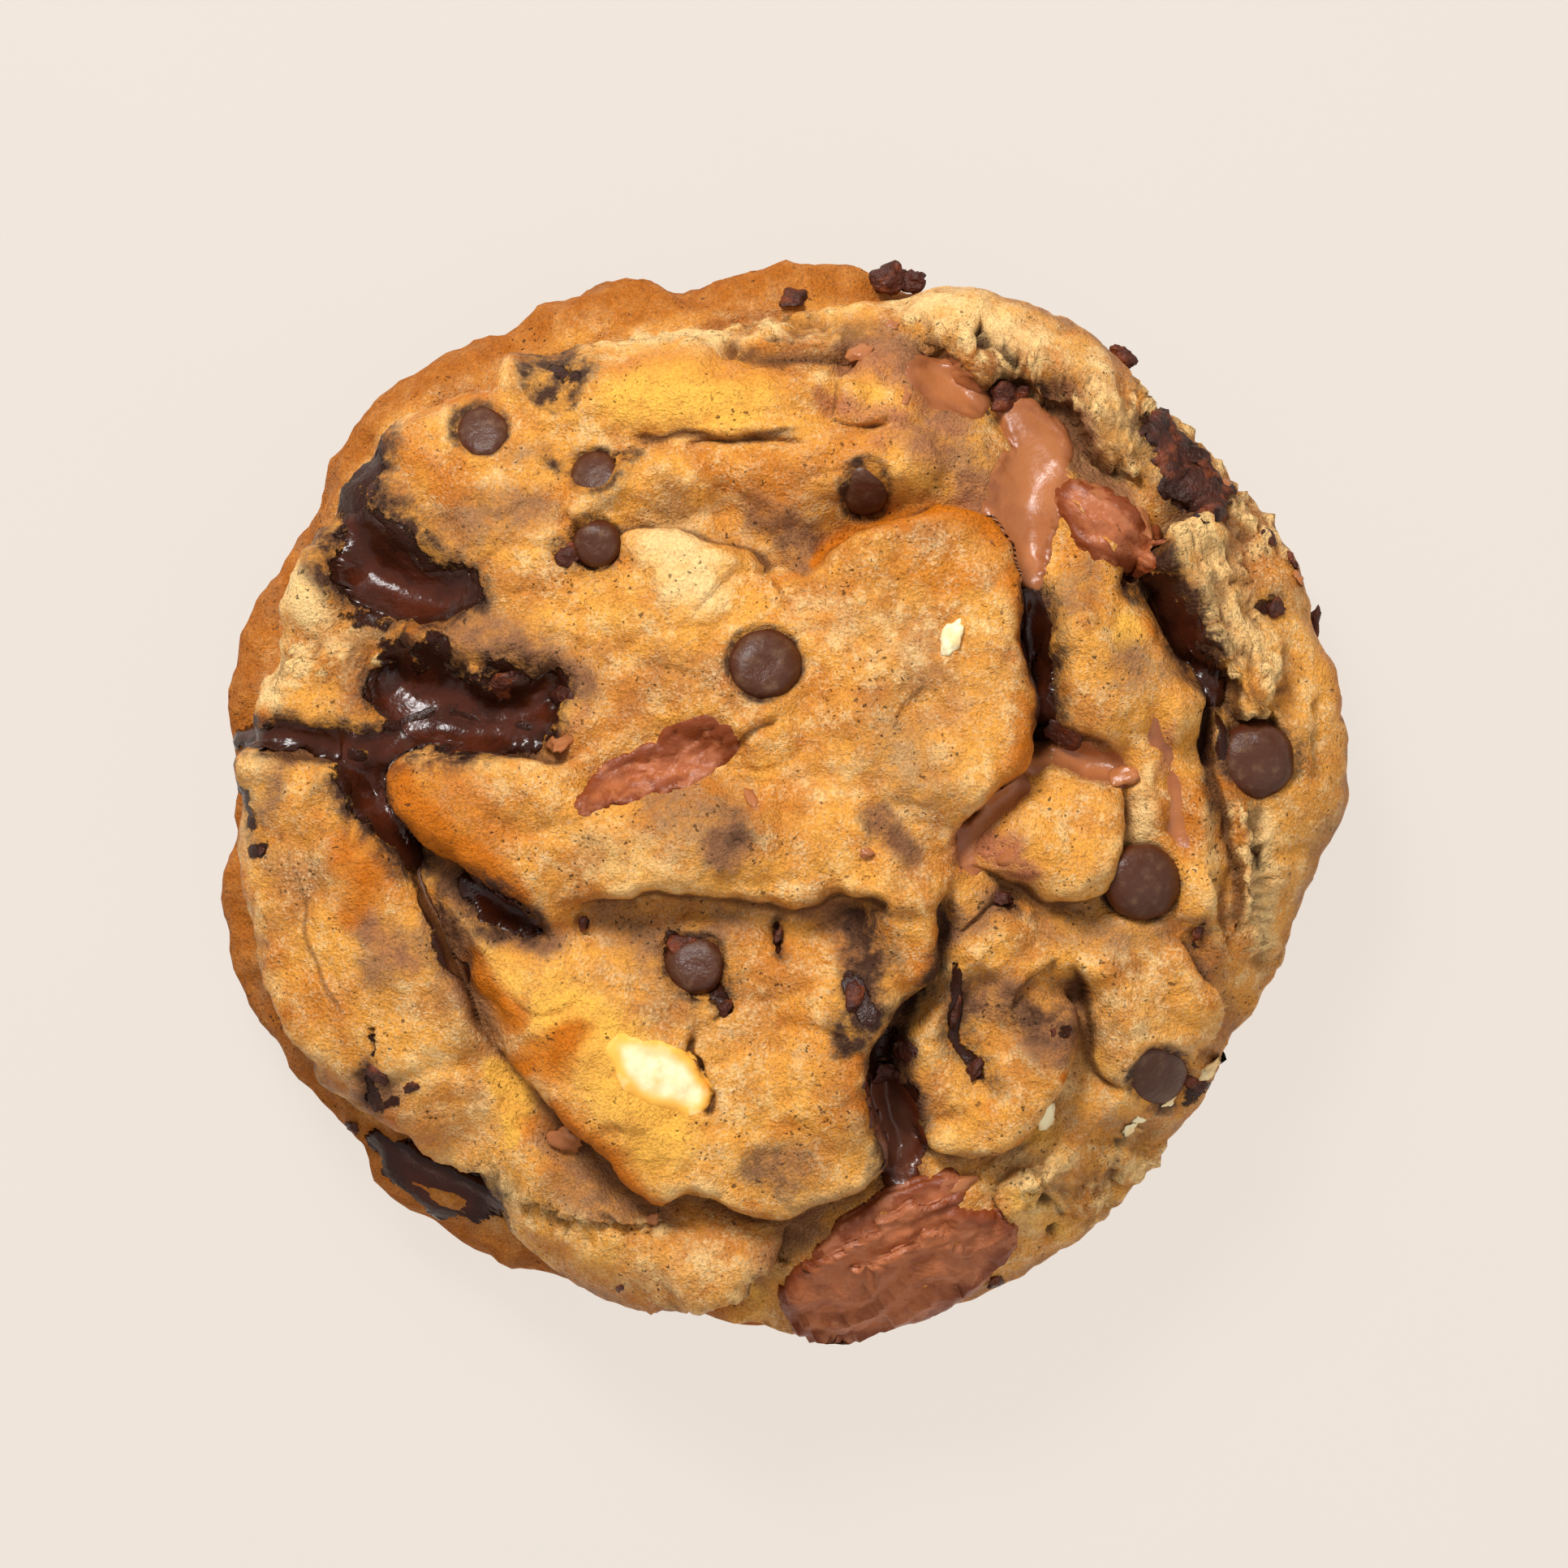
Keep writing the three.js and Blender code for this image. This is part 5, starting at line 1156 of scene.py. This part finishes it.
class Ground:
    """The finished dough's height seen from above, plain and evened out."""

    def __init__(self, mesh):
        bm = bmesh.new()
        bm.from_mesh(mesh)
        tree = BVHTree.FromBMesh(bm)
        bm.faces.ensure_lookup_table()
        self.bm = bm
        self.spots = read_spots(mesh)
        self.corners = np.array([[vert.index for vert in face.verts] for face in bm.faces])
        self.count = round(2 * GROUND_REACH / GROUND_STEP) + 1
        steps = np.linspace(-GROUND_REACH, GROUND_REACH, self.count)
        down = Vector((0, 0, -1))
        hits = [[tree.ray_cast(Vector((x, y, SKY)), down)[0] for y in steps] for x in steps]
        self.found = np.array([[hit is not None for hit in row] for row in hits], float)
        self.heights = np.array([[hit.z if hit else 0 for hit in row] for row in hits])
        evened = self.blurred(self.heights) / np.maximum(self.blurred(self.found), 0.01)
        self.evened = np.where(self.found > 0, evened, 0)

    @staticmethod
    def blurred(values):
        reach = round(EVEN_REACH / GROUND_STEP)
        kernel = np.hanning(2 * reach + 3)
        kernel /= kernel.sum()
        for _ in range(2):
            values = np.array([np.convolve(row, kernel, "same") for row in values]).T
        return values

    def read(self, table, spots):
        place = (spots[:, :2] + GROUND_REACH) / GROUND_STEP
        place = np.clip(place, 0, self.count - 1.001)
        x, y = place.astype(int).T
        part_x, part_y = (place - place.astype(int)).T
        low = table[x, y] * (1 - part_y) + table[x, y + 1] * part_y
        high = table[x + 1, y] * (1 - part_y) + table[x + 1, y + 1] * part_y
        return low * (1 - part_x) + high * part_x

    def height(self, spots):
        return self.read(self.heights, spots)

    def even(self, spots):
        return self.read(self.evened, spots)


@functools.cache
def ground():
    if DOUGH not in bpy.data.objects:
        raise RuntimeError("the dough has to be made before what lies in it")
    mesh = bpy.data.objects[DOUGH].data.copy()
    mesh.transform(Matrix.Scale(1 / MM, 4))
    table = Ground(mesh)
    bpy.data.meshes.remove(mesh)
    return table


def make_drop(name, x, y, radius, sunk, look):
    """A chocolate drop, turned to lie on the slope under it."""
    bm = bmesh.new()
    bmesh.ops.create_uvsphere(bm, u_segments=DROP_SEGMENTS, v_segments=DROP_RINGS, radius=1)
    mesh = new_mesh("choc_" + name, bm)
    ball = read_spots(mesh)
    turn = np.arctan2(ball[:, 1], ball[:, 0])
    share = np.arccos(np.clip(ball[:, 2], -1, 1)) / math.pi
    profile = smooth_line(DROP_PROFILE)
    places = np.linspace(0, 1, len(profile))
    spread = np.interp(share, places, np.maximum(profile[:, 0], 0))
    rise = np.interp(share, places, profile[:, 1])
    spots = radius * np.transpose([spread * np.cos(turn), spread * np.sin(turn), rise])
    at = Vector((x, y, 0))
    uneven = [noise_at(spots + at, DROP_UNEVEN_LENGTH, layer) for layer in DROP_LAYERS]
    spots += DROP_UNEVEN * radius * np.transpose(uneven)
    ring = np.transpose([np.cos(turn), np.sin(turn), 0 * turn]) * radius * DROP_RING + at
    heights = ground().height(ring)
    slope = np.array([np.mean(heights * ring_side) for ring_side in (np.cos(turn), np.sin(turn))])
    slope *= 2 / (radius * DROP_RING)
    spots[:, 2] += spots[:, :2] @ slope + heights.mean() - sunk
    write_spots(mesh, spots + at)
    add_paint(mesh, "crown", ramp(rise, *DROP_CROWN))
    return add_piece(mesh, look, "dark_chocolate", name)


def inside_lines(spots, lines, ragged):
    """How far inside the lines' widths each spot lies, seen from above, with a ragged edge."""
    depth = np.full(len(spots), -SKY, float)
    flat = spots * (1, 1, 0)
    rags = sum(size * np.transpose([noise_at(flat, reach, layer) for layer in layers])
               for reach, size, layers in RAGS)
    for line in lines:
        sampled = smooth_line(line)
        torn = spots[:, :2] + ragged * sampled[:, 2].max() * rags
        numbers, distance, _, width, _, _ = near_line(torn, sampled, sampled[:, 2].max() + PATCH_RIM)
        depth[numbers] = np.maximum(depth[numbers], width - distance)
    return depth


def flakes_at(spots, turn, pitch, depth):
    """Terraces with sharp edges, as on broken chocolate, running at a turn in degrees."""
    across = spots[:, 1] * math.cos(math.radians(turn)) - spots[:, 0] * math.sin(math.radians(turn))
    rows = across / pitch + noises_at(spots / pitch, FLAKE_WANDER)
    return depth * (rows - np.floor(rows) - 0.5 + noises_at(spots, [FLAKE_GRAIN]))


def make_patch(name, look, slot, proud, ragged, evened, lines, flakes=None):
    """A piece of chocolate that lies in the dough: a patch of the dough's own surface, raised and
    evened out or broken into flakes, with its rim below the dough."""
    whole = ground()
    near = np.nonzero(whole.spots[:, 2] > PATCH_LOWEST)[0]
    depth = np.full(len(whole.spots), -SKY, float)
    depth[near] = inside_lines(whole.spots[near], lines, ragged)
    outside = (depth[whole.corners] <= -PATCH_RIM).any(1)
    bm = whole.bm.copy()
    faces = [face for face, left_out in zip(bm.faces, outside) if left_out]
    bmesh.ops.delete(bm, geom=faces, context="FACES")
    bm.normal_update()
    spots = np.array([vert.co for vert in bm.verts])
    normals = np.array([vert.normal for vert in bm.verts])
    depth = inside_lines(spots, lines, ragged)
    rim = np.clip((depth + PATCH_RIM) / (2 * PATCH_RIM), 0, 1)
    rim = np.sqrt(1 - (1 - rim) ** 2)
    level = evened * ramp(depth, -PATCH_RIM, PATCH_RIM) * (normals[:, 2] > PATCH_FACES_UP)
    spots[:, 2] += level * (whole.even(spots) - spots[:, 2])
    rise = (proud + PATCH_SUNK) * rim - PATCH_SUNK
    if flakes:
        rise += ramp(depth, -PATCH_RIM / 2, PATCH_RIM) * flakes_at(spots, *flakes)
    else:
        rise += noises_at(spots * (1, 1, 0), [POOL_WAVES])
    spots += normals * rise[:, None]
    for vert, spot in zip(bm.verts, spots):
        vert.co = spot
    made = bmesh.ops.extrude_face_region(bm, geom=bm.faces[:])["geom"]
    below = [part for part in made if isinstance(part, bmesh.types.BMVert)]
    inwards = Vector((0, 0, PATCH_INWARDS))
    for vert in below:
        vert.co += (inwards - vert.co).normalized() * PATCH_THICKNESS
    bmesh.ops.recalc_face_normals(bm, faces=bm.faces)
    mesh = new_mesh("melt_" + name, bm)
    core = inside_lines(read_spots(mesh), lines, 0)
    add_paint(mesh, "core", ramp(core, 0, PATCH_CORE))
    return add_piece(mesh, look, slot, name)


def make_bits(name, look, slot, bits):
    """Knobbly bits of one kind of chocolate, which lie on the dough."""
    bm = bmesh.new()
    for x, y, width, stretch, turn in bits:
        made = bmesh.ops.create_icosphere(bm, subdivisions=BIT_SUBDIVISIONS, radius=1)["verts"]
        spots = np.array([vert.co for vert in made])
        at = spots + (x, y, 0)
        knobs = BIT_NOISE[1] * noise_at(at, BIT_NOISE[0]) + BIT_LUMPS[1] * lumps_at(at, BIT_LUMPS[0])
        spots *= 1 + (knobs - BIT_LUMPS[1] / 2)[:, None]
        angle = math.radians(turn)
        long, wide = spots[:, 0] * width * stretch, spots[:, 1] * width
        spots[:, 0] = x + long * math.cos(angle) - wide * math.sin(angle)
        spots[:, 1] = y + long * math.sin(angle) + wide * math.cos(angle)
        level = ground().even(spots)
        middle = ground().height(np.array([[x, y, 0]]))[0]
        if middle < PATCH_LOWEST:
            level = np.full(len(spots), BIT_ON_SIDE)
        spots[:, 2] = np.maximum(level + BIT_HEIGHT * width * spots[:, 2], BIT_LOWEST)
        for vert, spot in zip(made, spots):
            vert.co = spot
    mesh = new_mesh(name, bm)
    add_paint(mesh, "core", np.ones(len(mesh.vertices)))
    return add_piece(mesh, look, slot)


class Look:
    """A material, and the nodes added to it."""

    def __init__(self, name):
        self.material = bpy.data.materials.new(name)
        self.material.use_nodes = True
        self.nodes = self.material.node_tree.nodes
        self.links = self.material.node_tree.links
        self.shader = self.nodes["Principled BSDF"]
        self.place = self.nodes.new("ShaderNodeTexCoord").outputs["Object"]

    def give(self, socket, value):
        if isinstance(value, bpy.types.NodeSocket):
            self.links.new(value, socket)
        else:
            socket.default_value = (*value, 1) if socket.type == "RGBA" else value

    def node(self, kind, inputs, **settings):
        node = self.nodes.new(kind)
        for setting, value in settings.items():
            setattr(node, setting, value)
        for socket, value in inputs.items():
            self.give(node.inputs[socket], value)
        return node

    def noise(self, size, detail=2, roughness=0.5, place=None):
        """Noise whose blots are about the given size, in millimetres."""
        inputs = {
            "Vector": place or self.place, "Scale": 1 / (size * MM), "Detail": detail, "Roughness": roughness,
        }
        return self.node("ShaderNodeTexNoise", inputs).outputs["Fac"]

    def moved(self, distance):
        """Object coordinates moved by a distance in metres, so that another noise falls elsewhere."""
        return self.node("ShaderNodeVectorMath", {0: self.place, 1: (distance, distance, 0)}).outputs[0]

    def ramp(self, value, low, high, start=0.0, end=1.0):
        inputs = {"Value": value, "From Min": low, "From Max": high, "To Min": start, "To Max": end}
        node = self.node("ShaderNodeMapRange", inputs, interpolation_type="SMOOTHSTEP")
        return node.outputs["Result"]

    def sum(self, operation, *values):
        return self.node("ShaderNodeMath", dict(enumerate(values)), operation=operation).outputs[0]

    def mix(self, share, first, second, blend="MIX"):
        inputs = {0: share, 6: first, 7: second}
        return self.node("ShaderNodeMix", inputs, data_type="RGBA", blend_type=blend).outputs[2]

    def blend(self, share, first, second):
        return self.node("ShaderNodeMix", {0: share, 2: first, 3: second}, data_type="FLOAT").outputs[0]

    def painted(self, name):
        return self.node("ShaderNodeAttribute", {}, attribute_name=name).outputs["Fac"]

    def relief(self, *layers):
        """Bump from heights given with the distance, in millimetres, that each stands for."""
        below = {}
        for height, distance in layers:
            bumped = self.node("ShaderNodeBump", {"Height": height, "Distance": distance * MM, **below})
            below = {"Normal": bumped.outputs["Normal"]}
        self.give(self.shader.inputs["Normal"], below["Normal"])

    def finish(self, colour, roughness, **constants):
        self.give(self.shader.inputs["Base Color"], colour)
        self.give(self.shader.inputs["Roughness"], roughness)
        for name, value in constants.items():
            self.shader.inputs[name.replace("_", " ")].default_value = value
        return self.material


# Sizes of the dough's blots and pits, in millimetres.
GRAIN = 0.32
SUGAR = 0.36
PORE = 0.55
CRUMB = 1.1
CLOUD = 2.4
PITTED_AREA = 5
MOTTLE = 7
GLOW = 8
SMEAR = 11


def dough_look(colours):
    """Baked dough: mottled, then toasted on its ridges, with a pale painted highlight on them and painted
    shade in its hollows, then painted with its patches, and pitted and grainy all over, with painted shade in
    its seams, cracks and pits and pale grains that are partly painted glints."""
    look = Look("baked_dough")
    grain = look.noise(GRAIN, 3, 0.65)
    crumb = look.noise(CRUMB, 4, 0.6)
    cloud = look.noise(CLOUD, 5, 0.65)
    mottle = look.noise(MOTTLE, 5, 0.6)
    colour = look.mix(look.ramp(mottle, 0.4, 0.66), colours.dough, colours.dough_deep)
    colour = look.mix(look.ramp(cloud, 0.48, 0.7, 0.0, 0.6), colour, colours.pale)
    smear = look.ramp(look.noise(SMEAR, 5, 0.62, look.moved(0.3)), 0.5, 0.68, 0.0, 0.6)
    colour = look.mix(smear, colour, colours.stain)
    glow = look.ramp(look.noise(GLOW, 4, 0.6, look.moved(0.7)), 0.52, 0.68, 0.0, 0.6)
    colour = look.mix(glow, colour, colours.toast)
    # Pale grains, partly real sugar and partly painted glints, gathered in the cloud's blots.
    grains = look.ramp(look.noise(SUGAR, 2, 0.6), 0.46, 0.64)
    sugar_and_glint = look.sum("MULTIPLY", grains, look.ramp(cloud, 0.35, 0.6))
    colour = look.mix(look.sum("MULTIPLY", sugar_and_glint, 0.42), colour, colours.sugar_and_glint)
    foot = look.sum("ADD", look.painted("foot"), look.sum("MULTIPLY", crumb, 0.3))
    foot = look.ramp(foot, 0.3, 1.0, 0.0, 0.92)
    baked = look.mix(look.ramp(cloud, 0.4, 0.7, 0.0, 0.6), colours.foot, colours.dough_deep)
    colour = look.mix(foot, colour, look.mix(look.ramp(mottle, 0.5, 0.75), baked, colours.hollow))
    # Painted shade in the hollows, broken up by blots.
    hollow = look.sum("MULTIPLY", look.painted("hollow"), look.ramp(cloud, 0.25, 0.6, 0.55, 1.0))
    colour = look.mix(hollow, colour, colours.hollow)
    ridge = look.painted("ridge")
    # Painted highlight: the pale crust colour laid over the ridges, fading out where the mottle rises.
    ridge_highlight = look.sum("MULTIPLY", ridge, look.ramp(mottle, 0.3, 0.55, 0.7, 0.0))
    colour = look.mix(ridge_highlight, colour, colours.pale)
    toasted_ridge = look.sum("MULTIPLY", ridge, look.ramp(mottle, 0.5, 0.65, 0.0, 0.8))
    colour = look.mix(toasted_ridge, colour, colours.toast)
    # Each painted layer: its tint, how much its blots break it up, and where it starts and is full.
    layers = {
        "pale": (colours.pale, 0.4, 0.1, 0.9), "butter": (colours.butter, 0.5, 0.1, 1.0),
        "salmon": (colours.salmon, 0.35, 0.15, 0.8), "stain": (colours.stain, 0.35, 0.05, 0.8),
        "crumbs": (colours.crumb, 0.2, 0.1, 0.9), "toast": (colours.toast, 0.3, 0.05, 0.9),
        "char": (colours.char, 0.6, 0.12, 1.0), "cocoa": (colours.cocoa, 0.6, 0.4, 0.62),
    }
    cocoa = None
    for name, (tint, broken, low, high) in layers.items():
        blots = look.ramp(cloud, 0.25, 0.75, 1 - broken, 1 + broken)
        cocoa = look.ramp(look.sum("MULTIPLY", look.painted(name), blots), low, high)
        colour = look.mix(cocoa, colour, tint)
    # Painted shade along the seams of the creases and between crumbs.
    colour = look.mix(look.ramp(look.painted("seam"), 0.1, 1.0, 0.0, 0.85), colour, colours.seam)
    # Painted shade in the cracks, in the cocoa colour.
    crack_shade = look.ramp(look.painted("cracked"), 0.15, 0.9, 0.0, 0.8)
    colour = look.mix(crack_shade, colour, colours.cocoa)
    # Pits, clustered in patches, that are bumped in and darkened as painted shade.
    pitted = look.ramp(look.noise(PITTED_AREA, 2), 0.4, 0.65)
    shaded_pores = look.ramp(look.noise(PORE, 1, 0.5), 0.27, 0.34, look.sum("SUBTRACT", 1.0, pitted), 1.0)
    shaded_pores = look.ramp(shaded_pores, 0.0, 1.0, 0.3, 1.0)
    speckle = look.sum("MULTIPLY", look.ramp(grain, 0.25, 0.75, 0.76, 1.18), shaded_pores)
    shade = look.node("ShaderNodeCombineColor", {0: speckle, 1: speckle, 2: speckle}).outputs[0]
    colour = look.mix(1.0, colour, shade, "MULTIPLY")
    dry = look.sum("ADD", look.ramp(crumb, 0.3, 0.7, 0.34, 0.6), look.sum("MULTIPLY", foot, 0.3))
    roughness = look.blend(cocoa, dry, 0.24)
    bumpy = look.blend(cocoa, 1.0, 0.3)
    cells = look.node("ShaderNodeTexVoronoi", {"Vector": look.place, "Scale": 1 / MM}).outputs["Distance"]
    look.relief(
        (look.sum("MULTIPLY", cloud, bumpy), 0.5), (look.sum("MULTIPLY", crumb, bumpy), 0.36),
        (look.sum("MULTIPLY", cells, look.painted("crumbs")), -0.6),
        (look.sum("MULTIPLY", grain, bumpy), 0.32), (shaded_pores, 0.15))
    return look.finish(colour, roughness, Specular_IOR_Level=0.22)


def chocolate_look(name, main, deep, film, roughness, size, depth):
    """Chocolate in its main colour, deeper at its rim, with a broken film of another colour on it."""
    look = Look(name)
    waves = look.noise(size, 4, 0.55)
    core = look.sum("MULTIPLY", look.painted("core"), look.ramp(waves, 0.3, 0.65, 1.1, 0.35))
    colour = look.mix(look.ramp(core, 0.0, 0.8), deep, main)
    colour = look.mix(look.ramp(look.noise(3.4, 5, 0.65), 0.5, 0.62, 0.0, 0.7), colour, film)
    grain = look.noise(0.4, 3, 0.6)
    look.relief((waves, depth), (grain, 0.03))
    gloss = look.ramp(grain, 0.3, 0.7, roughness - 0.08, roughness + 0.1)
    return look.finish(colour, gloss, Specular_IOR_Level=0.35)


def drop_look(colours):
    look = Look("chocolate_drop")
    blots = look.noise(1.4, 4, 0.6)
    crown = look.sum("MULTIPLY", look.painted("crown"), look.ramp(blots, 0.3, 0.65, 0.4, 1.0))
    colour = look.mix(crown, colours.dark, colours.drop)
    bloom = look.sum("MULTIPLY", crown, look.ramp(blots, 0.5, 0.75, 0.0, 0.6))
    colour = look.mix(bloom, colour, colours.bloom)
    look.relief((look.noise(0.7, 3, 0.6), 0.12), (look.noise(0.3, 2), 0.04))
    return look.finish(colour, look.blend(crown, 0.26, 0.46), Specular_IOR_Level=0.3)


# The camera looks straight down at a spot above the middle of the cookie, from far off, as the photo does.
LENS = 180
SENSOR = 36
AIM = (-0.17, 1.8, 14)
# Soft lamps: name, place and side in metres, and power.
LIGHTS = [
    ("key", (-0.2, 0.46, 0.54), 0.24, 5.6),
    ("fill", (0.5, -0.3, 0.6), 0.9, 1.6),
]
LIGHTS_AIM = (0, 0, 0.02)
SKY_GLOW = 0.4
# The floor mostly glows by itself, so that it stays as pale and as free of shadow as in the photo.
FLOOR_GLOW = 0.9
FLOOR_DIFFUSE = 0.08
FLOOR_DROP = 0.05
FLOOR_MOTTLE = 40


class COOKIE_OT_stage(bpy.types.Operator):
    """Lays the pale floor and sets up the soft light and the camera that looks straight down"""
    bl_idname = "cookie.stage"
    bl_label = "Stage"

    def execute(self, context):
        sizes, colours = context.scene.cookie_sizes, context.scene.cookie_colours
        bm = bmesh.new()
        bmesh.ops.create_grid(bm, x_segments=1, y_segments=1, size=sizes.floor / 2)
        bmesh.ops.translate(bm, verts=bm.verts, vec=(0, 0, -FLOOR_DROP * MM))
        mesh = bpy.data.meshes.new("floor")
        bm.to_mesh(mesh)
        bm.free()
        floor = bpy.data.objects.new("floor", mesh)
        context.collection.objects.link(floor)
        look = Look("pale_floor")
        mottle = look.noise(FLOOR_MOTTLE, 2)
        colour = look.mix(look.ramp(mottle, 0.3, 0.7, 0.0, 0.02), colours.floor, colours.pale)
        dull = look.mix(1.0, colour, 3 * (FLOOR_DIFFUSE,), "MULTIPLY")
        look.give(look.shader.inputs["Emission Color"], colour)
        finish = look.finish(dull, 0.9, Specular_IOR_Level=0.0, Emission_Strength=FLOOR_GLOW)
        mesh.materials.append(finish)
        world = bpy.data.worlds.new("studio")
        world.use_nodes = True
        background = world.node_tree.nodes["Background"]
        background.inputs["Color"].default_value = (1, 1, 1, 1)
        background.inputs["Strength"].default_value = SKY_GLOW
        context.scene.world = world
        for name, place, size, power in LIGHTS:
            light = bpy.data.lights.new(name, "AREA")
            light.size = size
            light.energy = power
            lamp = bpy.data.objects.new(name, light)
            lamp.location = place
            ahead = Vector(LIGHTS_AIM) - Vector(place)
            lamp.rotation_euler = ahead.to_track_quat("-Z", "Y").to_euler()
            context.collection.objects.link(lamp)
        data = bpy.data.cameras.new("camera")
        data.lens = LENS
        data.sensor_width = SENSOR
        camera = bpy.data.objects.new("camera", data)
        away = sizes.frame_width * LENS / SENSOR
        camera.location = (AIM[0] * MM, AIM[1] * MM, AIM[2] * MM + away)
        context.collection.objects.link(camera)
        context.scene.camera = camera
        context.scene.view_settings.view_transform = "Standard"
        return {"FINISHED"}


class COOKIE_OT_dough(bpy.types.Operator):
    """Heaps and folds the dough, with its creases, torn edges and browned foot"""
    bl_idname = "cookie.dough"
    bl_label = "Dough"

    def execute(self, context):
        make_dough(context.scene.cookie_sizes, context.scene.cookie_colours)
        return {"FINISHED"}


class COOKIE_OT_drops(bpy.types.Operator):
    """Sets the ten chocolate drops into the dough"""
    bl_idname = "cookie.drops"
    bl_label = "Chocolate drops"

    def execute(self, context):
        look = drop_look(context.scene.cookie_colours)
        for name, (x, y, radius, sunk) in DROPS.items():
            make_drop(name, x, y, radius, sunk, look)
        return {"FINISHED"}


# Chocolate looks: their slot, main colour, rim, film, roughness, and the size and depth of their waves.
CHOCOLATES = {
    "dark": ("dark_chocolate", "dark", "cocoa", "cocoa", 0.2, 5, 0.5),
    "brown": ("dark_chocolate", "brown", "dark", "brown", 0.2, 6, 0.3),
    "crumbly": ("dark_chocolate", "dark", "cocoa", "milk_deep", 0.5, 1.2, 0.9),
    "milk": ("milk_chocolate", "milk", "milk_rim", "milk", 0.28, 6, 0.3),
    "flaky": ("milk_chocolate", "flake", "milk_deep", "salmon", 0.44, 2.4, 0.5),
    "white": ("white_chocolate", "white", "butter", "pale", 0.5, 5, 0.2),
}


def chocolate(context, kind):
    """The material for a kind of chocolate, made when it is first needed, and its slot."""
    slot, main, deep, film, *finish = CHOCOLATES[kind]
    name = kind + "_chocolate_look"
    if name not in bpy.data.materials:
        tints = [getattr(context.scene.cookie_colours, tint) for tint in (main, deep, film)]
        chocolate_look(name, *tints, *finish)
    return bpy.data.materials[name], slot


def lay_patches(context, table, slot, evened):
    """Makes those pieces of a table that belong to one slot."""
    for name, (kind, proud, ragged, lines, *flakes) in table.items():
        if CHOCOLATES[kind][0] == slot:
            make_patch(name, *chocolate(context, kind), proud, ragged, evened, lines, *flakes)


class COOKIE_OT_dark_pools(bpy.types.Operator):
    """Lays the melted pools of dark chocolate into the dough"""
    bl_idname = "cookie.dark_pools"
    bl_label = "Dark pools"

    def execute(self, context):
        lay_patches(context, POOLS, "dark_chocolate", POOL_EVENED)
        return {"FINISHED"}


class COOKIE_OT_milk_pools(bpy.types.Operator):
    """Lays the melted pools and smears of milk chocolate into the dough"""
    bl_idname = "cookie.milk_pools"
    bl_label = "Milk pools"

    def execute(self, context):
        lay_patches(context, POOLS, "milk_chocolate", POOL_EVENED)
        return {"FINISHED"}


class COOKIE_OT_dark_chunk(bpy.types.Operator):
    """Sets the crumbled dark chunk into the right edge"""
    bl_idname = "cookie.dark_chunk"
    bl_label = "Dark chunk"

    def execute(self, context):
        lay_patches(context, CHUNKS, "dark_chocolate", CHUNK_EVENED)
        return {"FINISHED"}


class COOKIE_OT_milk_chunks(bpy.types.Operator):
    """Sets the flaky chunks of milk chocolate into the dough"""
    bl_idname = "cookie.milk_chunks"
    bl_label = "Milk chunks"

    def execute(self, context):
        lay_patches(context, CHUNKS, "milk_chocolate", CHUNK_EVENED)
        return {"FINISHED"}


class COOKIE_OT_white_chunk(bpy.types.Operator):
    """Sets the white chunk into the lower fold"""
    bl_idname = "cookie.white_chunk"
    bl_label = "White chunk"

    def execute(self, context):
        lay_patches(context, CHUNKS, "white_chocolate", CHUNK_EVENED)
        return {"FINISHED"}


class COOKIE_OT_bits(bpy.types.Operator):
    """Scatters the small bits of dark, milk and white chocolate"""
    bl_idname = "cookie.bits"
    bl_label = "Bits"

    def execute(self, context):
        for name, (kind, bits) in BITS.items():
            make_bits(name, *chocolate(context, kind), bits)
        return {"FINISHED"}


class COOKIE_PT_panel(bpy.types.Panel):
    """Lists what makes the cookie"""
    bl_idname = "COOKIE_PT_panel"
    bl_label = "Chocolate chip cookie"
    bl_space_type = "VIEW_3D"
    bl_region_type = "UI"
    bl_category = "Cookie"

    def draw(self, context):
        for operator in OPERATORS:
            self.layout.operator(operator.bl_idname)
        for group in (context.scene.cookie_sizes, context.scene.cookie_colours):
            box = self.layout.box()
            for name in group.__annotations__:
                box.prop(group, name)


OPERATORS = [
    COOKIE_OT_stage, COOKIE_OT_dough, COOKIE_OT_drops, COOKIE_OT_dark_pools, COOKIE_OT_milk_pools,
    COOKIE_OT_dark_chunk, COOKIE_OT_milk_chunks, COOKIE_OT_white_chunk, COOKIE_OT_bits,
]
CLASSES = [CookieSizes, CookieColours, *OPERATORS, COOKIE_PT_panel]


def register():
    for item in CLASSES:
        bpy.utils.register_class(item)
    bpy.types.Scene.cookie_sizes = PointerProperty(type=CookieSizes)
    bpy.types.Scene.cookie_colours = PointerProperty(type=CookieColours)


def unregister():
    del bpy.types.Scene.cookie_colours
    del bpy.types.Scene.cookie_sizes
    for item in reversed(CLASSES):
        bpy.utils.unregister_class(item)


def main():
    register()
    bpy.ops.cookie.stage()
    bpy.ops.cookie.dough()
    bpy.ops.cookie.drops()
    bpy.ops.cookie.dark_pools()
    bpy.ops.cookie.milk_pools()
    bpy.ops.cookie.dark_chunk()
    bpy.ops.cookie.milk_chunks()
    bpy.ops.cookie.white_chunk()
    bpy.ops.cookie.bits()
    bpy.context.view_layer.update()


if __name__ == "__main__":
    main()
